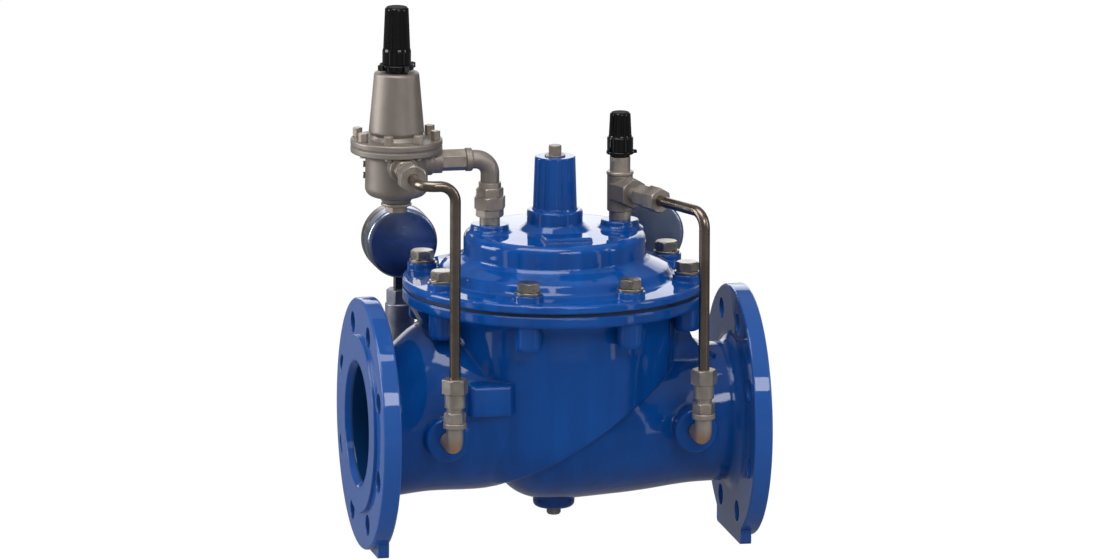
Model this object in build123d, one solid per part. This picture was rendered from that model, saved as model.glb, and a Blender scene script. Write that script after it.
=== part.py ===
from build123d import *
import math
import os

# Pilot-operated pressure reducing valve, DN100 PN16, millimetres.
# Origin: centre of the outlet flange's sealing face. +X runs along the pipe to the inlet flange,
# +Z runs up the main stem, and -Y is the front, where the two control tubes come down.

# ---------- pipe connection (EN 1092 PN16 drilling, EN 558 face to face) ----------
FACE_TO_FACE = 350.0
FLANGE_OD = 220.0
FLANGE_PCD = 180.0
FLANGE_HOLES = 8
FLANGE_HOLE_D = 19.0
FLANGE_THICK = 19.0
RAISED_FACE_D = 156.0
RAISED_FACE = 3.0
PASSAGE_R = 52.0
FACE_CHAMFER = 3.5
FACE_CHAMFER_DEPTH = 6.0
FOOT_HALF_WIDTH = 51.0
FOOT_THICK = 9.5
OUTLET_NECK_R = 63.0
INLET_NECK_R = 59.5
NECK_STUB = 13.0
NECK_FILLET = 12.0

# ---------- body casting ----------
STEM_X = FACE_TO_FACE / 2
BARREL_TOP_R = 104.0
BARREL_LOW_R = 98.0
BARREL_BOTTOM_Z = -58.0
BARREL_BOTTOM_ROUND = 55.0
COVER_FLANGE_R = 132.5
COVER_FLANGE_LOW_Z = 105.0
BODY_TOP_Z = 115.0
CHAMBER_R = 88.0
CHAMBER_FLOOR_Z = 34.0
RIB_WIDTH = 50.0
WEB_WIDTH = 58.0
BRIDGE_SLOPE = 0.615
BRIDGE_Z = -10.6
BRIDGE_WALL = 10.0
SEAT_TUBE_R = 57.0
SEAT_TUBE_BORE_R = 46.0
DRAIN_BOSS_R = 18.2
DRAIN_BOSS_Z = -80.0
DRAIN_THREAD_R = 5.0
PORT_SETBACK = 65.0
PORT_BOSS_R = 19.2
PORT_FACE_Y = 83.0
PLATE_PAD_OFFSET = 74.0
PLATE_PAD_SIZE = (36.0, 35.0, 27.5)
PLATE_PAD_Z = 35.0
PLATE_PAD_Y = -94.0

# ---------- cover joint ----------
COVER_BOLTS = 8
COVER_BOLT_PCD = 235.0
BOLT_R = 6.0
BOLT_HEAD_AF = 18.0
BOLT_HEAD_H = 8.2
BOLT_TURNS = (2.0, 31.0, 12.0, 44.0, 20.0, 53.0, 9.0, 49.0)
BOLT_TIP_Z = 88.0
BODY_BOSS_R = 11.5
BODY_BOSS_Z = 82.0
COVER_BOSS_R = 13.0
COVER_BOSS_Z = 132.3
WASHER_R = 11.4
WASHER_THICK = 2.5
DIAPHRAGM_THICK = 3.0
DIAPHRAGM_EDGE_R = 129.5

# ---------- clearances ----------
HOLE_CLEARANCE = 0.6
THREAD_CLEARANCE = 0.1
RUNNING_CLEARANCE = 0.06

# ---------- cover (bonnet) ----------
COVER_RIM_Z = 125.0
CONE_TOP_Z = 143.0
DRUM_R = 79.5
DOME_Z = 167.0
COVER_CAVITY_TOP_Z = 158.0
TOWER_LOW_R = 19.2
TOWER_TOP_R = 17.7
TOWER_LOW_Z = 184.5
TOWER_TOP_Z = 231.5
TOWER_FLUTES = 12
TOWER_BORE_R = 10.5
TOWER_BORE_TOP_Z = 227.0
LINK_OFFSET = 57.7
LINK_BOSS_R = 16.5
LINK_BOSS_Z = 173.5
PLUG_THREAD_R = 6.0

# ---------- trim: seat, disc, stem and diaphragm plates ----------
STEM_R = 9.0
STEM_SPACER_R = 13.0
STEM_TOP_Z = 198.0
STEM_LOW_Z = 0.0
SEAT_R = 44.0
SEAT_RING_R = 54.0
SEAT_RING_Z = 38.0
SEAT_Z = 40.0
SEAL_OUTER_R = 52.0
SEAL_INNER_R = 40.0
SEAL_THICK = 8.0
RETAINER_R = 56.0
RETAINER_THICK = 8.0
GUIDE_LOW_Z = 12.0
PLATE_R = 66.0
LOWER_PLATE_Z = 90.0
DIAPHRAGM_CENTRE_Z = 100.0
UPPER_PLATE_THICK = 6.0
STEM_NUT_AF = 30.0
STEM_NUT_H = 10.0
SPRING_R = 24.5
SPRING_WIRE_R = 2.5
SPRING_TURNS = 4
BUSH_R = 12.0
BUSH_BOSS_R = 18.0
BUSH_LOW_Z = 148.0

# ---------- threaded fittings of the control line ----------
FITTING_THREAD_R = 6.5
FITTING_BORE_R = 4.0
TUBE_R = 4.75
TUBE_BORE_R = 3.75
TUBE_BEND_R = 14.0
TUBE_Y = -110.5
ELBOW_R = 7.4
PORT_ELBOW_TOP_Z = 21.7
TUBE_NUT_AF = 20.0
PILOT_TUBE_NUT_AF = 22.0
NUT_THREAD_R = 7.2
CONNECTOR_THREAD_R = 5.5

# ---------- pilot valve ----------
TUBE_JOG = 30.5
PILOT_PORT_Z = 231.0
PILOT_PORT_Y = 36.0
PILOT_FLANGE_R = 40.0
PILOT_JOINT_Z = 245.6
PILOT_DIAPHRAGM_THICK = 1.4
PILOT_BASE_Z = 195.3
PILOT_BODY_R = 27.0
PILOT_BODY_LOW_R = 27.4
SIDE_SCREWS_Z = (219.3, 229.2)
PILOT_SCREW_R = 3.0
PILOT_SCREW_PCD = 69.0
PILOT_SCREWS = 8
HOUSING_FLANGE_Z = 252.4
HOUSING_LOW_R = 24.15
HOUSING_TOP_R = 19.5
HOUSING_TOP_Z = 311.0
HOUSING_STUB_R = 8.0
HOUSING_STUB_Z = 322.0
ADJUST_SCREW_R = 5.0
ADJUST_SCREW_TOP_Z = 349.0
UPPER_SPRING_PLATE_Z = 290.0
SPRING_PLATE_R = 13.2
LOWER_SPRING_PLATE_R = 16.0
PILOT_SPRING_R = 11.0
PILOT_WIRE_R = 1.7
PILOT_SPRING_TURNS = 6
PILOT_SEAT_R = 9.5
PILOT_SEAT_Z = 214.0
PILOT_SEAT_HOLE_R = 5.0
PILOT_LIFT = 3.0
CAP_COLLAR_Z = 318.0
CAP_SLEEVE_Z = 330.0
CAP_TOP_Z = 368.5
CAP_LOW_R = 11.75
CAP_TOP_R = 10.25
CAP_BORE_R = 9.0
CAP_FLUTES = 14

# ---------- needle valve ----------
NEEDLE_AXIS_Z = 199.0
NEEDLE_BODY_R = 11.2
NEEDLE_BODY_LOW_Z = 181.0
NEEDLE_BODY_TOP_Z = 213.2
BRANCH_AF = 24.0
BRANCH_REACH = 21.3
NEEDLE_GLAND_R = 9.0
NEEDLE_GLAND_Z = 229.0
NEEDLE_STUB_R = 6.5
NEEDLE_STUB_Z = 238.0
NEEDLE_BORE_R = 5.2
NEEDLE_SEAT_Z = 190.0
NEEDLE_SEAT_R = 3.2
NEEDLE_SPINDLE_R = 4.0
NEEDLE_SPINDLE_TOP_Z = 246.0
NEEDLE_CAP_SLEEVE_Z = 246.0
NEEDLE_CAP_TOP_Z = 268.4

# ---------- pressure gauges on the rear ports ----------
GAUGE_STEM_Y = 138.5
GAUGE_CENTRE_Z = 131.8
GAUGE_CASE_R = 31.3
GAUGE_NECK_R = 30.0
GAUGE_BORE_R = 28.5
GAUGE_WALL = 1.5
GAUGE_BACK_Y = 125.7
GAUGE_NECK_Y = 144.0
GAUGE_DIAL_Y = 145.5
GAUGE_GLASS_Y = 151.0
GAUGE_RIM_Y = 152.5
GAUGE_BEZEL_Y = 157.5
GAUGE_BEZEL_R = 31.5
GAUGE_LIP_R = 27.3
POINTER_LENGTH = 22.5
GAUGE_SOCKET_AF = 10.0
GAUGE_ADAPTER_R = 13.0
GAUGE_ADAPTER_LOW_Z = 30.0
GAUGE_ADAPTER_TOP_Z = 77.0
GAUGE_HEX_TOP_Z = 89.0
GAUGE_SPINDLE_R = 1.5

OUTLET_PORT_X = PORT_SETBACK
INLET_PORT_X = FACE_TO_FACE - PORT_SETBACK
PORTS_X = (OUTLET_PORT_X, INLET_PORT_X)
PILOT_X = OUTLET_PORT_X - TUBE_JOG
LINK_X = STEM_X - LINK_OFFSET
NEEDLE_X = STEM_X + LINK_OFFSET
UPPER_PLATE_Z = DIAPHRAGM_CENTRE_Z + DIAPHRAGM_THICK
STEM_NUT_Z = UPPER_PLATE_Z + UPPER_PLATE_THICK
COVER_Z = BODY_TOP_Z + DIAPHRAGM_THICK
HOUSING_Z = PILOT_JOINT_Z + PILOT_DIAPHRAGM_THICK

TO_X = Rot(0, 90, 0)
TO_MINUS_X = Rot(0, -90, 0)
TO_FRONT = Rot(90, 0, 0)
TO_REAR = Rot(-90, 0, 0)


# ---------- shapes that several pieces share ----------
def turned(*outline):
    """Solid of revolution about +Z, from (radius, height) or (radius, height, rounding) corners."""
    corners = [(corner[0], corner[1]) for corner in outline]
    rounding = [corner[2] if len(corner) > 2 else 0 for corner in outline]
    edge = FilletPolyline(*corners, radius=rounding, close=True)
    return revolve(Plane.XZ * make_face(edge), Axis.Z)


def rod(radius, low, high):
    """Plain round bar on the Z axis between two heights."""
    return Pos(0, 0, (low + high) / 2) * Cylinder(radius, high - low)


def tube_ring(outer, inner, low, high):
    """Plain ring on the Z axis."""
    return rod(outer, low, high) - rod(inner, low - 1, high + 1)


def hexagon(across_flats, low, high, chamfer=0.8):
    """Hexagon bar on the Z axis with both ends turned to a chamfer."""
    corner_r = across_flats / math.sqrt(3)
    prism = extrude(Plane.XY.offset(low) * RegularPolygon(across_flats / 2, 6, major_radius=False), high
                    - low)
    edge_r = corner_r - 1.6 * chamfer
    cone = turned((0, low), (edge_r, low), (corner_r + 0.01, low + chamfer),
                  (corner_r + 0.01, high - chamfer), (edge_r, high), (0, high))
    return prism & cone


def around(shape, count, start=0.0):
    """Copies of a shape turned about the Z axis."""
    return [Rot(0, 0, start + 360 * i / count) * shape for i in range(count)]


def bent_bar(radius, corners, bends):
    """Round bar along straight runs joined by tangent arcs."""
    path = FilletPolyline(*corners, radius=bends)
    section = Plane(origin=path @ 0, z_dir=path % 0) * Circle(radius)
    return sweep(section, path=path)


def coil(radius, wire_r, low, high, turns):
    """Compression spring on the Z axis whose wire ends lie inside the two heights."""
    rise = high - low - 2 * wire_r
    path = Helix(pitch=rise / turns, height=rise, radius=radius, center=(0, 0, low + wire_r))
    section = Plane(origin=path @ 0, z_dir=path % 0) * Circle(wire_r)
    return sweep(section, path=path, is_frenet=True)


def write(name, shape):
    """One STEP file for one node."""
    pieces = shape if isinstance(shape, list) else [shape]
    solids = [solid for piece in pieces for solid in piece.solids()]
    export_step(solids[0] if len(solids) == 1 else Compound(solids), "parts/" + name + ".step")


# ---------- body ----------
def pipe_flange(neck_r):
    """Flange, raised face and neck stub, with the sealing face at Z 0 and the pipe running up."""
    ring = turned((0, 0), (RAISED_FACE_D / 2, 0, 0.8), (RAISED_FACE_D / 2, RAISED_FACE),
                  (FLANGE_OD / 2, RAISED_FACE, 1.8), (FLANGE_OD / 2, FLANGE_THICK, 1.8),
                  (neck_r, FLANGE_THICK, NECK_FILLET), (neck_r, FLANGE_THICK + NECK_STUB),
                  (0, FLANGE_THICK + NECK_STUB))
    return ring


def foot():
    """Flat-bottomed plate that squares off the lower edge of a flange, in the outlet flange's place."""
    height = FLANGE_OD / 2 - 30
    plate = Pos(FLANGE_THICK - FOOT_THICK / 2, 0, -FLANGE_OD / 2 + height / 2)
    plate = plate * Box(FOOT_THICK, 2 * FOOT_HALF_WIDTH, height)
    corners = plate.edges().filter_by(Axis.X).group_by(Axis.Z)[0]
    return fillet(corners, 3)


def oval(x, centre_z, half_height, half_width):
    """Upright elliptical section of a passage at one place along the pipe."""
    return Plane(origin=(x, 0, centre_z), x_dir=(0, 1, 0), z_dir=(1, 0, 0)) * Ellipse(half_width,
                                                                                      half_height)


def outlet_side():
    """Outlet neck, which swells upwards to the chamber above the seat."""
    sections = [oval(FLANGE_THICK, 0, OUTLET_NECK_R, OUTLET_NECK_R), oval(34, 3, 66.5, 65.5),
                oval(54, 12.5, 73.5, 72), oval(83, 16, 76, 81), oval(STEM_X - 48, 15, 70.5, 84),
                oval(STEM_X - 20, 14, 58, 76)]
    return loft(sections)


def inlet_side():
    """Inlet neck, which drops and widens to the chamber below the seat and ends in a rounded nose."""
    sections = [oval(FACE_TO_FACE - FLANGE_THICK, 0, INLET_NECK_R, INLET_NECK_R),
                oval(FACE_TO_FACE - 34, -0.5, 60.8, 60.8), oval(FACE_TO_FACE - 75, -3, 60.5, 67),
                oval(STEM_X + 55, -3.5, 64.5, 80), oval(STEM_X, -3, 68, 88),
                oval(STEM_X - 21, -3, 66.3, 84), oval(STEM_X - 39, -3, 58.3, 70),
                oval(STEM_X - 50, -3, 44, 48)]
    return loft(sections)


def below_bridge(drop):
    """Everything under the slanted bridge that parts the inlet side from the outlet side."""
    slant = Plane(origin=(STEM_X, 0, BRIDGE_Z - drop), z_dir=(-BRIDGE_SLOPE, 0, 1))
    return slant * Pos(0, 0, -300) * Box(900, 600, 600)


def barrel():
    """Upright barrel over the seat, cut off below along the slant of the bridge."""
    drum = turned((0, BARREL_BOTTOM_Z), (BARREL_LOW_R, BARREL_BOTTOM_Z, BARREL_BOTTOM_ROUND),
                  (BARREL_TOP_R, 70), (BARREL_TOP_R, COVER_FLANGE_LOW_Z, 12),
                  (COVER_FLANGE_R - 1.5, COVER_FLANGE_LOW_Z), (COVER_FLANGE_R, COVER_FLANGE_LOW_Z + 1.5),
                  (COVER_FLANGE_R, BODY_TOP_Z, 0.6), (0, BODY_TOP_Z))
    drum = Pos(STEM_X, 0, 0) * drum - below_bridge(0)
    shoulder = turned((0, 66), (108, 66), (COVER_FLANGE_R - 1.5, COVER_FLANGE_LOW_Z + 2),
                      (0, COVER_FLANGE_LOW_Z + 2))
    ribs = shoulder & Pos(0, 0, 90) * Box(3 * COVER_FLANGE_R, RIB_WIDTH, 100)
    boss = Pos(0, -COVER_BOLT_PCD / 2, 0) * turned((0, BODY_BOSS_Z), (BODY_BOSS_R, BODY_BOSS_Z, 4),
                                                   (BODY_BOSS_R, COVER_FLANGE_LOW_Z + 2),
                                                   (0, COVER_FLANGE_LOW_Z + 2))
    web = Polyline((270, 105), (303, 105), (289, 78), (292, 71), (296.5, 65), (303, 59.5), (313, 55),
                   (275, 40), close=True)
    web = extrude(Plane.XZ * make_face(web), WEB_WIDTH / 2, both=True)
    shape = drum + Pos(STEM_X, 0, 0) * ribs + web
    for piece in around(boss, COVER_BOLTS, 180 / COVER_BOLTS):
        shape += Pos(STEM_X, 0, 0) * piece
    return shape


def port_boss():
    """Boss for a control port, standing up along Z from inside the wall to its spot face."""
    return turned((0, 50), (PORT_BOSS_R, 50), (PORT_BOSS_R, PORT_FACE_Y, 1.5), (0, PORT_FACE_Y))


def plate_pad():
    """Plain raised pad on the front of the outlet side."""
    width, depth, height = PLATE_PAD_SIZE
    block = Pos(STEM_X - PLATE_PAD_OFFSET, PLATE_PAD_Y + depth / 2, PLATE_PAD_Z) * Box(width, depth, height)
    front = block.faces().sort_by(Axis.Y)[0]
    return fillet(front.edges(), 3)


def body_passages():
    """Water spaces: inlet passage and seat tube, outlet passage and chamber."""
    straight = FLANGE_THICK + 36
    inlet = loft([oval(FACE_TO_FACE - straight, 0, PASSAGE_R, PASSAGE_R), oval(STEM_X + 60, -8, 52, 66),
                  oval(STEM_X, -10, 52, 72), oval(STEM_X - 36, -12, 42, 56)])
    inlet = inlet & below_bridge(-2)
    inlet += Pos(FACE_TO_FACE, 0, 0) * TO_MINUS_X * rod(PASSAGE_R, -5, straight)
    inlet += Pos(STEM_X, 0, 0) * rod(SEAT_TUBE_BORE_R, -40, CHAMBER_FLOOR_Z + 5)
    outlet = loft([oval(straight, 0, PASSAGE_R, PASSAGE_R), oval(STEM_X - 70, 11, 58, 68),
                   oval(STEM_X - 25, 10, 56, 72)])
    outlet += Pos(STEM_X, 0, 0) * rod(CHAMBER_R, CHAMBER_FLOOR_Z, BODY_TOP_Z + 5)
    outlet -= Pos(STEM_X, 0, 0) * rod(SEAT_TUBE_R, -80, CHAMBER_FLOOR_Z)
    outlet -= below_bridge(-BRIDGE_WALL)
    outlet += TO_X * rod(PASSAGE_R, -5, straight)
    return [inlet, outlet]


def body():
    """The casting with its flanges, feet, bosses, passages and drillings."""
    shape = barrel() + outlet_side() + inlet_side()
    shape += TO_X * pipe_flange(OUTLET_NECK_R) + foot()
    shape += Pos(FACE_TO_FACE, 0, 0) * TO_MINUS_X * pipe_flange(INLET_NECK_R)
    shape += Pos(FACE_TO_FACE, 0, 0) * Rot(0, 0, 180) * foot()
    shape += Pos(STEM_X, 0, 0) * turned((0, DRAIN_BOSS_Z), (DRAIN_BOSS_R, DRAIN_BOSS_Z, 5),
                                        (DRAIN_BOSS_R, -55), (0, -55))
    for x in PORTS_X:
        shape += Pos(x, 0, 0) * TO_FRONT * port_boss() + Pos(x, 0, 0) * TO_REAR * port_boss()
    shape += plate_pad()
    for passage in body_passages():
        shape -= passage
    chamfer_cone = turned((0, -1), (PASSAGE_R + FACE_CHAMFER + FACE_CHAMFER / FACE_CHAMFER_DEPTH, -1),
                          (PASSAGE_R, FACE_CHAMFER_DEPTH), (0, FACE_CHAMFER_DEPTH))
    shape -= TO_X * chamfer_cone
    shape -= Pos(FACE_TO_FACE, 0, 0) * TO_MINUS_X * chamfer_cone
    hole = Pos(0, FLANGE_PCD / 2, 0) * rod(FLANGE_HOLE_D / 2, -5, FLANGE_THICK + 5)
    for piece in around(hole, FLANGE_HOLES, 180 / FLANGE_HOLES):
        shape -= TO_X * piece
        shape -= Pos(FACE_TO_FACE, 0, 0) * TO_MINUS_X * piece
    bolt_hole = Pos(0, -COVER_BOLT_PCD / 2, 0) * rod(BOLT_R + THREAD_CLEARANCE, BOLT_TIP_Z - 2, BODY_TOP_Z
                                                     + 5)
    for piece in around(bolt_hole, COVER_BOLTS, 180 / COVER_BOLTS):
        shape -= Pos(STEM_X, 0, 0) * piece
    for x in PORTS_X:
        shape -= Pos(x, 0, 0) * TO_FRONT * rod(FITTING_THREAD_R + THREAD_CLEARANCE, 40, PORT_FACE_Y + 5)
        shape -= Pos(x, 0, 0) * TO_REAR * rod(FITTING_THREAD_R + THREAD_CLEARANCE, 40, PORT_FACE_Y + 5)
    shape -= Pos(STEM_X, 0, 0) * rod(DRAIN_THREAD_R + THREAD_CLEARANCE, DRAIN_BOSS_Z - 5, -50)
    shape -= Pos(STEM_X, 0, 0) * rod(SEAT_TUBE_BORE_R + 3.5, CHAMBER_FLOOR_Z - 12, CHAMBER_FLOOR_Z + 5)
    return shape


def drain_plug():
    """Square-headed plug in the lowest boss."""
    head = Pos(0, 0, DRAIN_BOSS_Z - 3.5) * Rot(0, 0, 33) * Box(9, 9, 7)
    head = head & turned((0, DRAIN_BOSS_Z - 7), (4.9, DRAIN_BOSS_Z - 7), (6.2, DRAIN_BOSS_Z - 5.4),
                         (6.2, DRAIN_BOSS_Z), (0, DRAIN_BOSS_Z))
    return Pos(STEM_X, 0, 0) * (head + rod(DRAIN_THREAD_R, DRAIN_BOSS_Z, DRAIN_BOSS_Z + 14))


# ---------- cover ----------
def cover():
    """Domed cover with eight bolt bosses, two line bosses and the fluted tower over the stem."""
    shell = turned((0, COVER_Z), (COVER_FLANGE_R, COVER_Z, 0.6), (COVER_FLANGE_R, COVER_RIM_Z, 2.5),
                   (104, COVER_RIM_Z + 2.5, 6), (98.5, 136, 4), (82.5, CONE_TOP_Z, 3),
                   (DRUM_R, CONE_TOP_Z + 3, 1.5), (DRUM_R, DOME_Z - 1.5, 7), (31, DOME_Z, 4),
                   (24.6, 172.5, 2), (24.2, TOWER_LOW_Z, 2), (TOWER_LOW_R + 1, TOWER_LOW_Z),
                   (TOWER_LOW_R, TOWER_LOW_Z + 2), (TOWER_TOP_R, TOWER_TOP_Z, 1.5), (0, TOWER_TOP_Z))
    for boss in around(Pos(0, -COVER_BOLT_PCD / 2, 0) * rod(COVER_BOSS_R, COVER_Z + 3, COVER_BOSS_Z),
                       COVER_BOLTS, 180 / COVER_BOLTS):
        shell += boss & rod(COVER_FLANGE_R - 1, COVER_Z, COVER_BOSS_Z)
    link_boss = turned((0, DOME_Z - 5), (21, DOME_Z - 5), (20.5, DOME_Z - 0.5, 1),
                       (LINK_BOSS_R + 0.5, DOME_Z + 2, 2), (LINK_BOSS_R, LINK_BOSS_Z, 1.5),
                       (0, LINK_BOSS_Z))
    for side in (-1, 1):
        shell += Pos(side * LINK_OFFSET, 0, 0) * link_boss
    pad = Pos(0.2, -51, DOME_Z + 0.5) * Box(41.5, 22, 6)
    shell += chamfer(pad.edges().group_by(Axis.Z)[-1], 1.2)
    taper = math.degrees(math.atan((TOWER_LOW_R - TOWER_TOP_R) / (TOWER_TOP_Z - TOWER_LOW_Z)))
    flute_r = 5.0
    flute = Pos(TOWER_LOW_R + flute_r - 1.1, 0, TOWER_LOW_Z + 2) * Rot(0, -taper, 0) * rod(flute_r, 0, 60)
    for cutter in around(flute, TOWER_FLUTES, 15):
        shell -= cutter
    shell -= turned((0, COVER_Z - 5), (CHAMBER_R, COVER_Z - 5), (CHAMBER_R, COVER_Z + 4, 5), (73, 141, 5),
                    (71, COVER_CAVITY_TOP_Z, 6), (BUSH_BOSS_R, COVER_CAVITY_TOP_Z, 1),
                    (BUSH_BOSS_R, BUSH_LOW_Z), (0, BUSH_LOW_Z))
    shell -= rod(BUSH_R, BUSH_LOW_Z - 1, DOME_Z)
    shell -= rod(TOWER_BORE_R, DOME_Z - 1, TOWER_BORE_TOP_Z)
    shell -= rod(PLUG_THREAD_R + THREAD_CLEARANCE, TOWER_BORE_TOP_Z - 1, TOWER_TOP_Z + 1)
    bolt_hole = Pos(0, -COVER_BOLT_PCD / 2, 0) * rod(BOLT_R + HOLE_CLEARANCE, COVER_Z - 5, COVER_BOSS_Z + 5)
    for cutter in around(bolt_hole, COVER_BOLTS, 180 / COVER_BOLTS):
        shell -= cutter
    for side in (-1, 1):
        shell -= Pos(side * LINK_OFFSET, 0, 0) * rod(FITTING_THREAD_R + THREAD_CLEARANCE,
                                                     COVER_CAVITY_TOP_Z - 8, LINK_BOSS_Z + 5)
    return Pos(STEM_X, 0, 0) * shell


def tower_plug():
    """Hexagon plug with a collar that closes the top of the tower."""
    plug = turned((0, TOWER_BORE_TOP_Z), (PLUG_THREAD_R, TOWER_BORE_TOP_Z), (PLUG_THREAD_R, TOWER_TOP_Z),
                  (9, TOWER_TOP_Z), (9, TOWER_TOP_Z + 1.2), (0, TOWER_TOP_Z + 1.2))
    return Pos(STEM_X, 0, 0) * (plug + Rot(0, 0, 12) * hexagon(10.5, TOWER_TOP_Z + 1.2, TOWER_TOP_Z + 9.5,
                                                               0.6))


def cover_bolts():
    """Hexagon bolts that clamp cover, diaphragm and body, each head at the turn where it came tight."""
    seat = COVER_BOSS_Z + WASHER_THICK
    head = hexagon(BOLT_HEAD_AF, seat, seat + BOLT_HEAD_H, 1.0)
    shank = rod(BOLT_R, BOLT_TIP_Z, seat)
    bolts = []
    for i in range(COVER_BOLTS):
        bolt = Pos(0, -COVER_BOLT_PCD / 2, 0) * Rot(0, 0, BOLT_TURNS[i % len(BOLT_TURNS)]) * (head + shank)
        bolts.append(Pos(STEM_X, 0, 0) * Rot(0, 0, (i + 0.5) * 360 / COVER_BOLTS) * bolt)
    return bolts


def cover_washers():
    """Flat washers under the bolt heads."""
    ring = turned((BOLT_R + HOLE_CLEARANCE, COVER_BOSS_Z), (WASHER_R, COVER_BOSS_Z, 0.4),
                  (WASHER_R, COVER_BOSS_Z + WASHER_THICK, 0.4),
                  (BOLT_R + HOLE_CLEARANCE, COVER_BOSS_Z + WASHER_THICK))
    ring = Pos(0, -COVER_BOLT_PCD / 2, 0) * ring
    return [Pos(STEM_X, 0, 0) * piece for piece in around(ring, COVER_BOLTS, 180 / COVER_BOLTS)]


# ---------- trim ----------
def main_diaphragm():
    """Rubber diaphragm, clamped at its rim between body and cover and at its middle between the plates."""
    sheet = turned((STEM_R + THREAD_CLEARANCE, DIAPHRAGM_CENTRE_Z), (76, DIAPHRAGM_CENTRE_Z, 8),
                   (CHAMBER_R - 3, BODY_TOP_Z, 3), (DIAPHRAGM_EDGE_R, BODY_TOP_Z),
                   (DIAPHRAGM_EDGE_R, COVER_Z), (CHAMBER_R - 5, COVER_Z, 6), (74, UPPER_PLATE_Z, 5),
                   (STEM_R + THREAD_CLEARANCE, UPPER_PLATE_Z))
    hole = Pos(0, -COVER_BOLT_PCD / 2, 0) * rod(BOLT_R + HOLE_CLEARANCE, BODY_TOP_Z - 5, COVER_Z + 5)
    for cutter in around(hole, COVER_BOLTS, 180 / COVER_BOLTS):
        sheet -= cutter
    return Pos(STEM_X, 0, 0) * sheet


def seat_ring():
    """Replaceable seat ring, let into the top of the seat tube."""
    spigot_r = SEAT_TUBE_BORE_R + 3.5 - THREAD_CLEARANCE
    ring = turned((SEAT_R, CHAMBER_FLOOR_Z - 12), (spigot_r, CHAMBER_FLOOR_Z - 12),
                  (spigot_r, CHAMBER_FLOOR_Z), (SEAT_RING_R, CHAMBER_FLOOR_Z),
                  (SEAT_RING_R, SEAT_RING_Z, 1), (SEAT_R + 3.5, SEAT_RING_Z), (SEAT_R + 3, SEAT_Z, 0.5),
                  (SEAT_R, SEAT_Z, 0.4))
    return Pos(STEM_X, 0, 0) * ring


def main_stem():
    """Stem with a thicker middle that spaces the disc from the diaphragm plates."""
    spacer_low = SEAT_Z + SEAL_THICK + RETAINER_THICK
    stem = turned((0, STEM_LOW_Z), (STEM_R, STEM_LOW_Z, 1), (STEM_R, spacer_low),
                  (STEM_SPACER_R, spacer_low), (STEM_SPACER_R, LOWER_PLATE_Z), (STEM_R, LOWER_PLATE_Z),
                  (STEM_R, STEM_TOP_Z, 1.5), (0, STEM_TOP_Z))
    return Pos(STEM_X, 0, 0) * stem


def disc_guide():
    """Guide below the disc, with four legs that slide in the seat ring."""
    bore = STEM_R + THREAD_CLEARANCE
    slide_r = SEAT_R - RUNNING_CLEARANCE
    hub = turned((bore, GUIDE_LOW_Z), (15, GUIDE_LOW_Z, 1), (15, SEAT_Z - 6), (slide_r, SEAT_Z - 6),
                 (slide_r, SEAT_Z), (SEAL_INNER_R - 0.1, SEAT_Z),
                 (SEAL_INNER_R - 0.1, SEAT_Z + SEAL_THICK), (bore, SEAT_Z + SEAL_THICK))
    leg_low = SEAT_Z - 30
    legs = Box(12, 2 * SEAT_R, 30) + Box(2 * SEAT_R, 12, 30)
    legs = Pos(0, 0, leg_low + 15) * legs & tube_ring(slide_r, 37, leg_low, SEAT_Z)
    return Pos(STEM_X, 0, 0) * (hub + legs)


def disc_seal():
    """Flat rubber seal ring that closes on the seat."""
    return Pos(STEM_X, 0, 0) * tube_ring(SEAL_OUTER_R, SEAL_INNER_R, SEAT_Z, SEAT_Z + SEAL_THICK)


def disc_retainer():
    """Cup that holds the seal ring."""
    low = SEAT_Z + 1.5
    top = SEAT_Z + SEAL_THICK
    rim_r = SEAL_OUTER_R + 0.1
    bore = STEM_R + THREAD_CLEARANCE
    cup = turned((bore, top), (rim_r, top), (rim_r, low), (RETAINER_R, low, 1), (RETAINER_R, top + 4, 2),
                 (30, top + RETAINER_THICK, 4), (bore, top + RETAINER_THICK))
    return Pos(STEM_X, 0, 0) * cup


def guide_nut():
    """Nut on the stem's lower end, under the disc guide."""
    nut = hexagon(26, GUIDE_LOW_Z - 10, GUIDE_LOW_Z) - rod(STEM_R + THREAD_CLEARANCE, GUIDE_LOW_Z - 15,
                                                           GUIDE_LOW_Z + 5)
    return Pos(STEM_X, 0, 0) * nut


def lower_plate():
    """Plate under the diaphragm."""
    bore = STEM_R + THREAD_CLEARANCE
    plate = turned((bore, LOWER_PLATE_Z), (52, LOWER_PLATE_Z, 3), (PLATE_R, DIAPHRAGM_CENTRE_Z - 5, 4),
                   (PLATE_R, DIAPHRAGM_CENTRE_Z, 1.5), (bore, DIAPHRAGM_CENTRE_Z))
    return Pos(STEM_X, 0, 0) * plate


def upper_plate():
    """Plate over the diaphragm, which carries the spring."""
    bore = STEM_R + THREAD_CLEARANCE
    plate = turned((bore, UPPER_PLATE_Z), (PLATE_R - 4, UPPER_PLATE_Z, 1.5), (PLATE_R - 4, STEM_NUT_Z, 2),
                   (bore, STEM_NUT_Z))
    return Pos(STEM_X, 0, 0) * plate


def stem_nut():
    """Nut that clamps the plates and the diaphragm against the stem's shoulder."""
    nut = hexagon(STEM_NUT_AF, STEM_NUT_Z, STEM_NUT_Z + STEM_NUT_H, 1.2)
    return Pos(STEM_X, 0, 0) * (nut - rod(STEM_R + THREAD_CLEARANCE, STEM_NUT_Z - 5, STEM_NUT_Z + 50))


def stem_bush():
    """Bearing bush in the cover's middle boss."""
    ring = tube_ring(BUSH_R - 0.02, STEM_R + RUNNING_CLEARANCE, BUSH_LOW_Z, DOME_Z - 1)
    return Pos(STEM_X, 0, 0) * ring


def main_spring():
    """Closing spring between the upper plate and the cover."""
    return Pos(STEM_X, 0, 0) * coil(SPRING_R, SPRING_WIRE_R, STEM_NUT_Z, COVER_CAVITY_TOP_Z, SPRING_TURNS)


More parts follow.
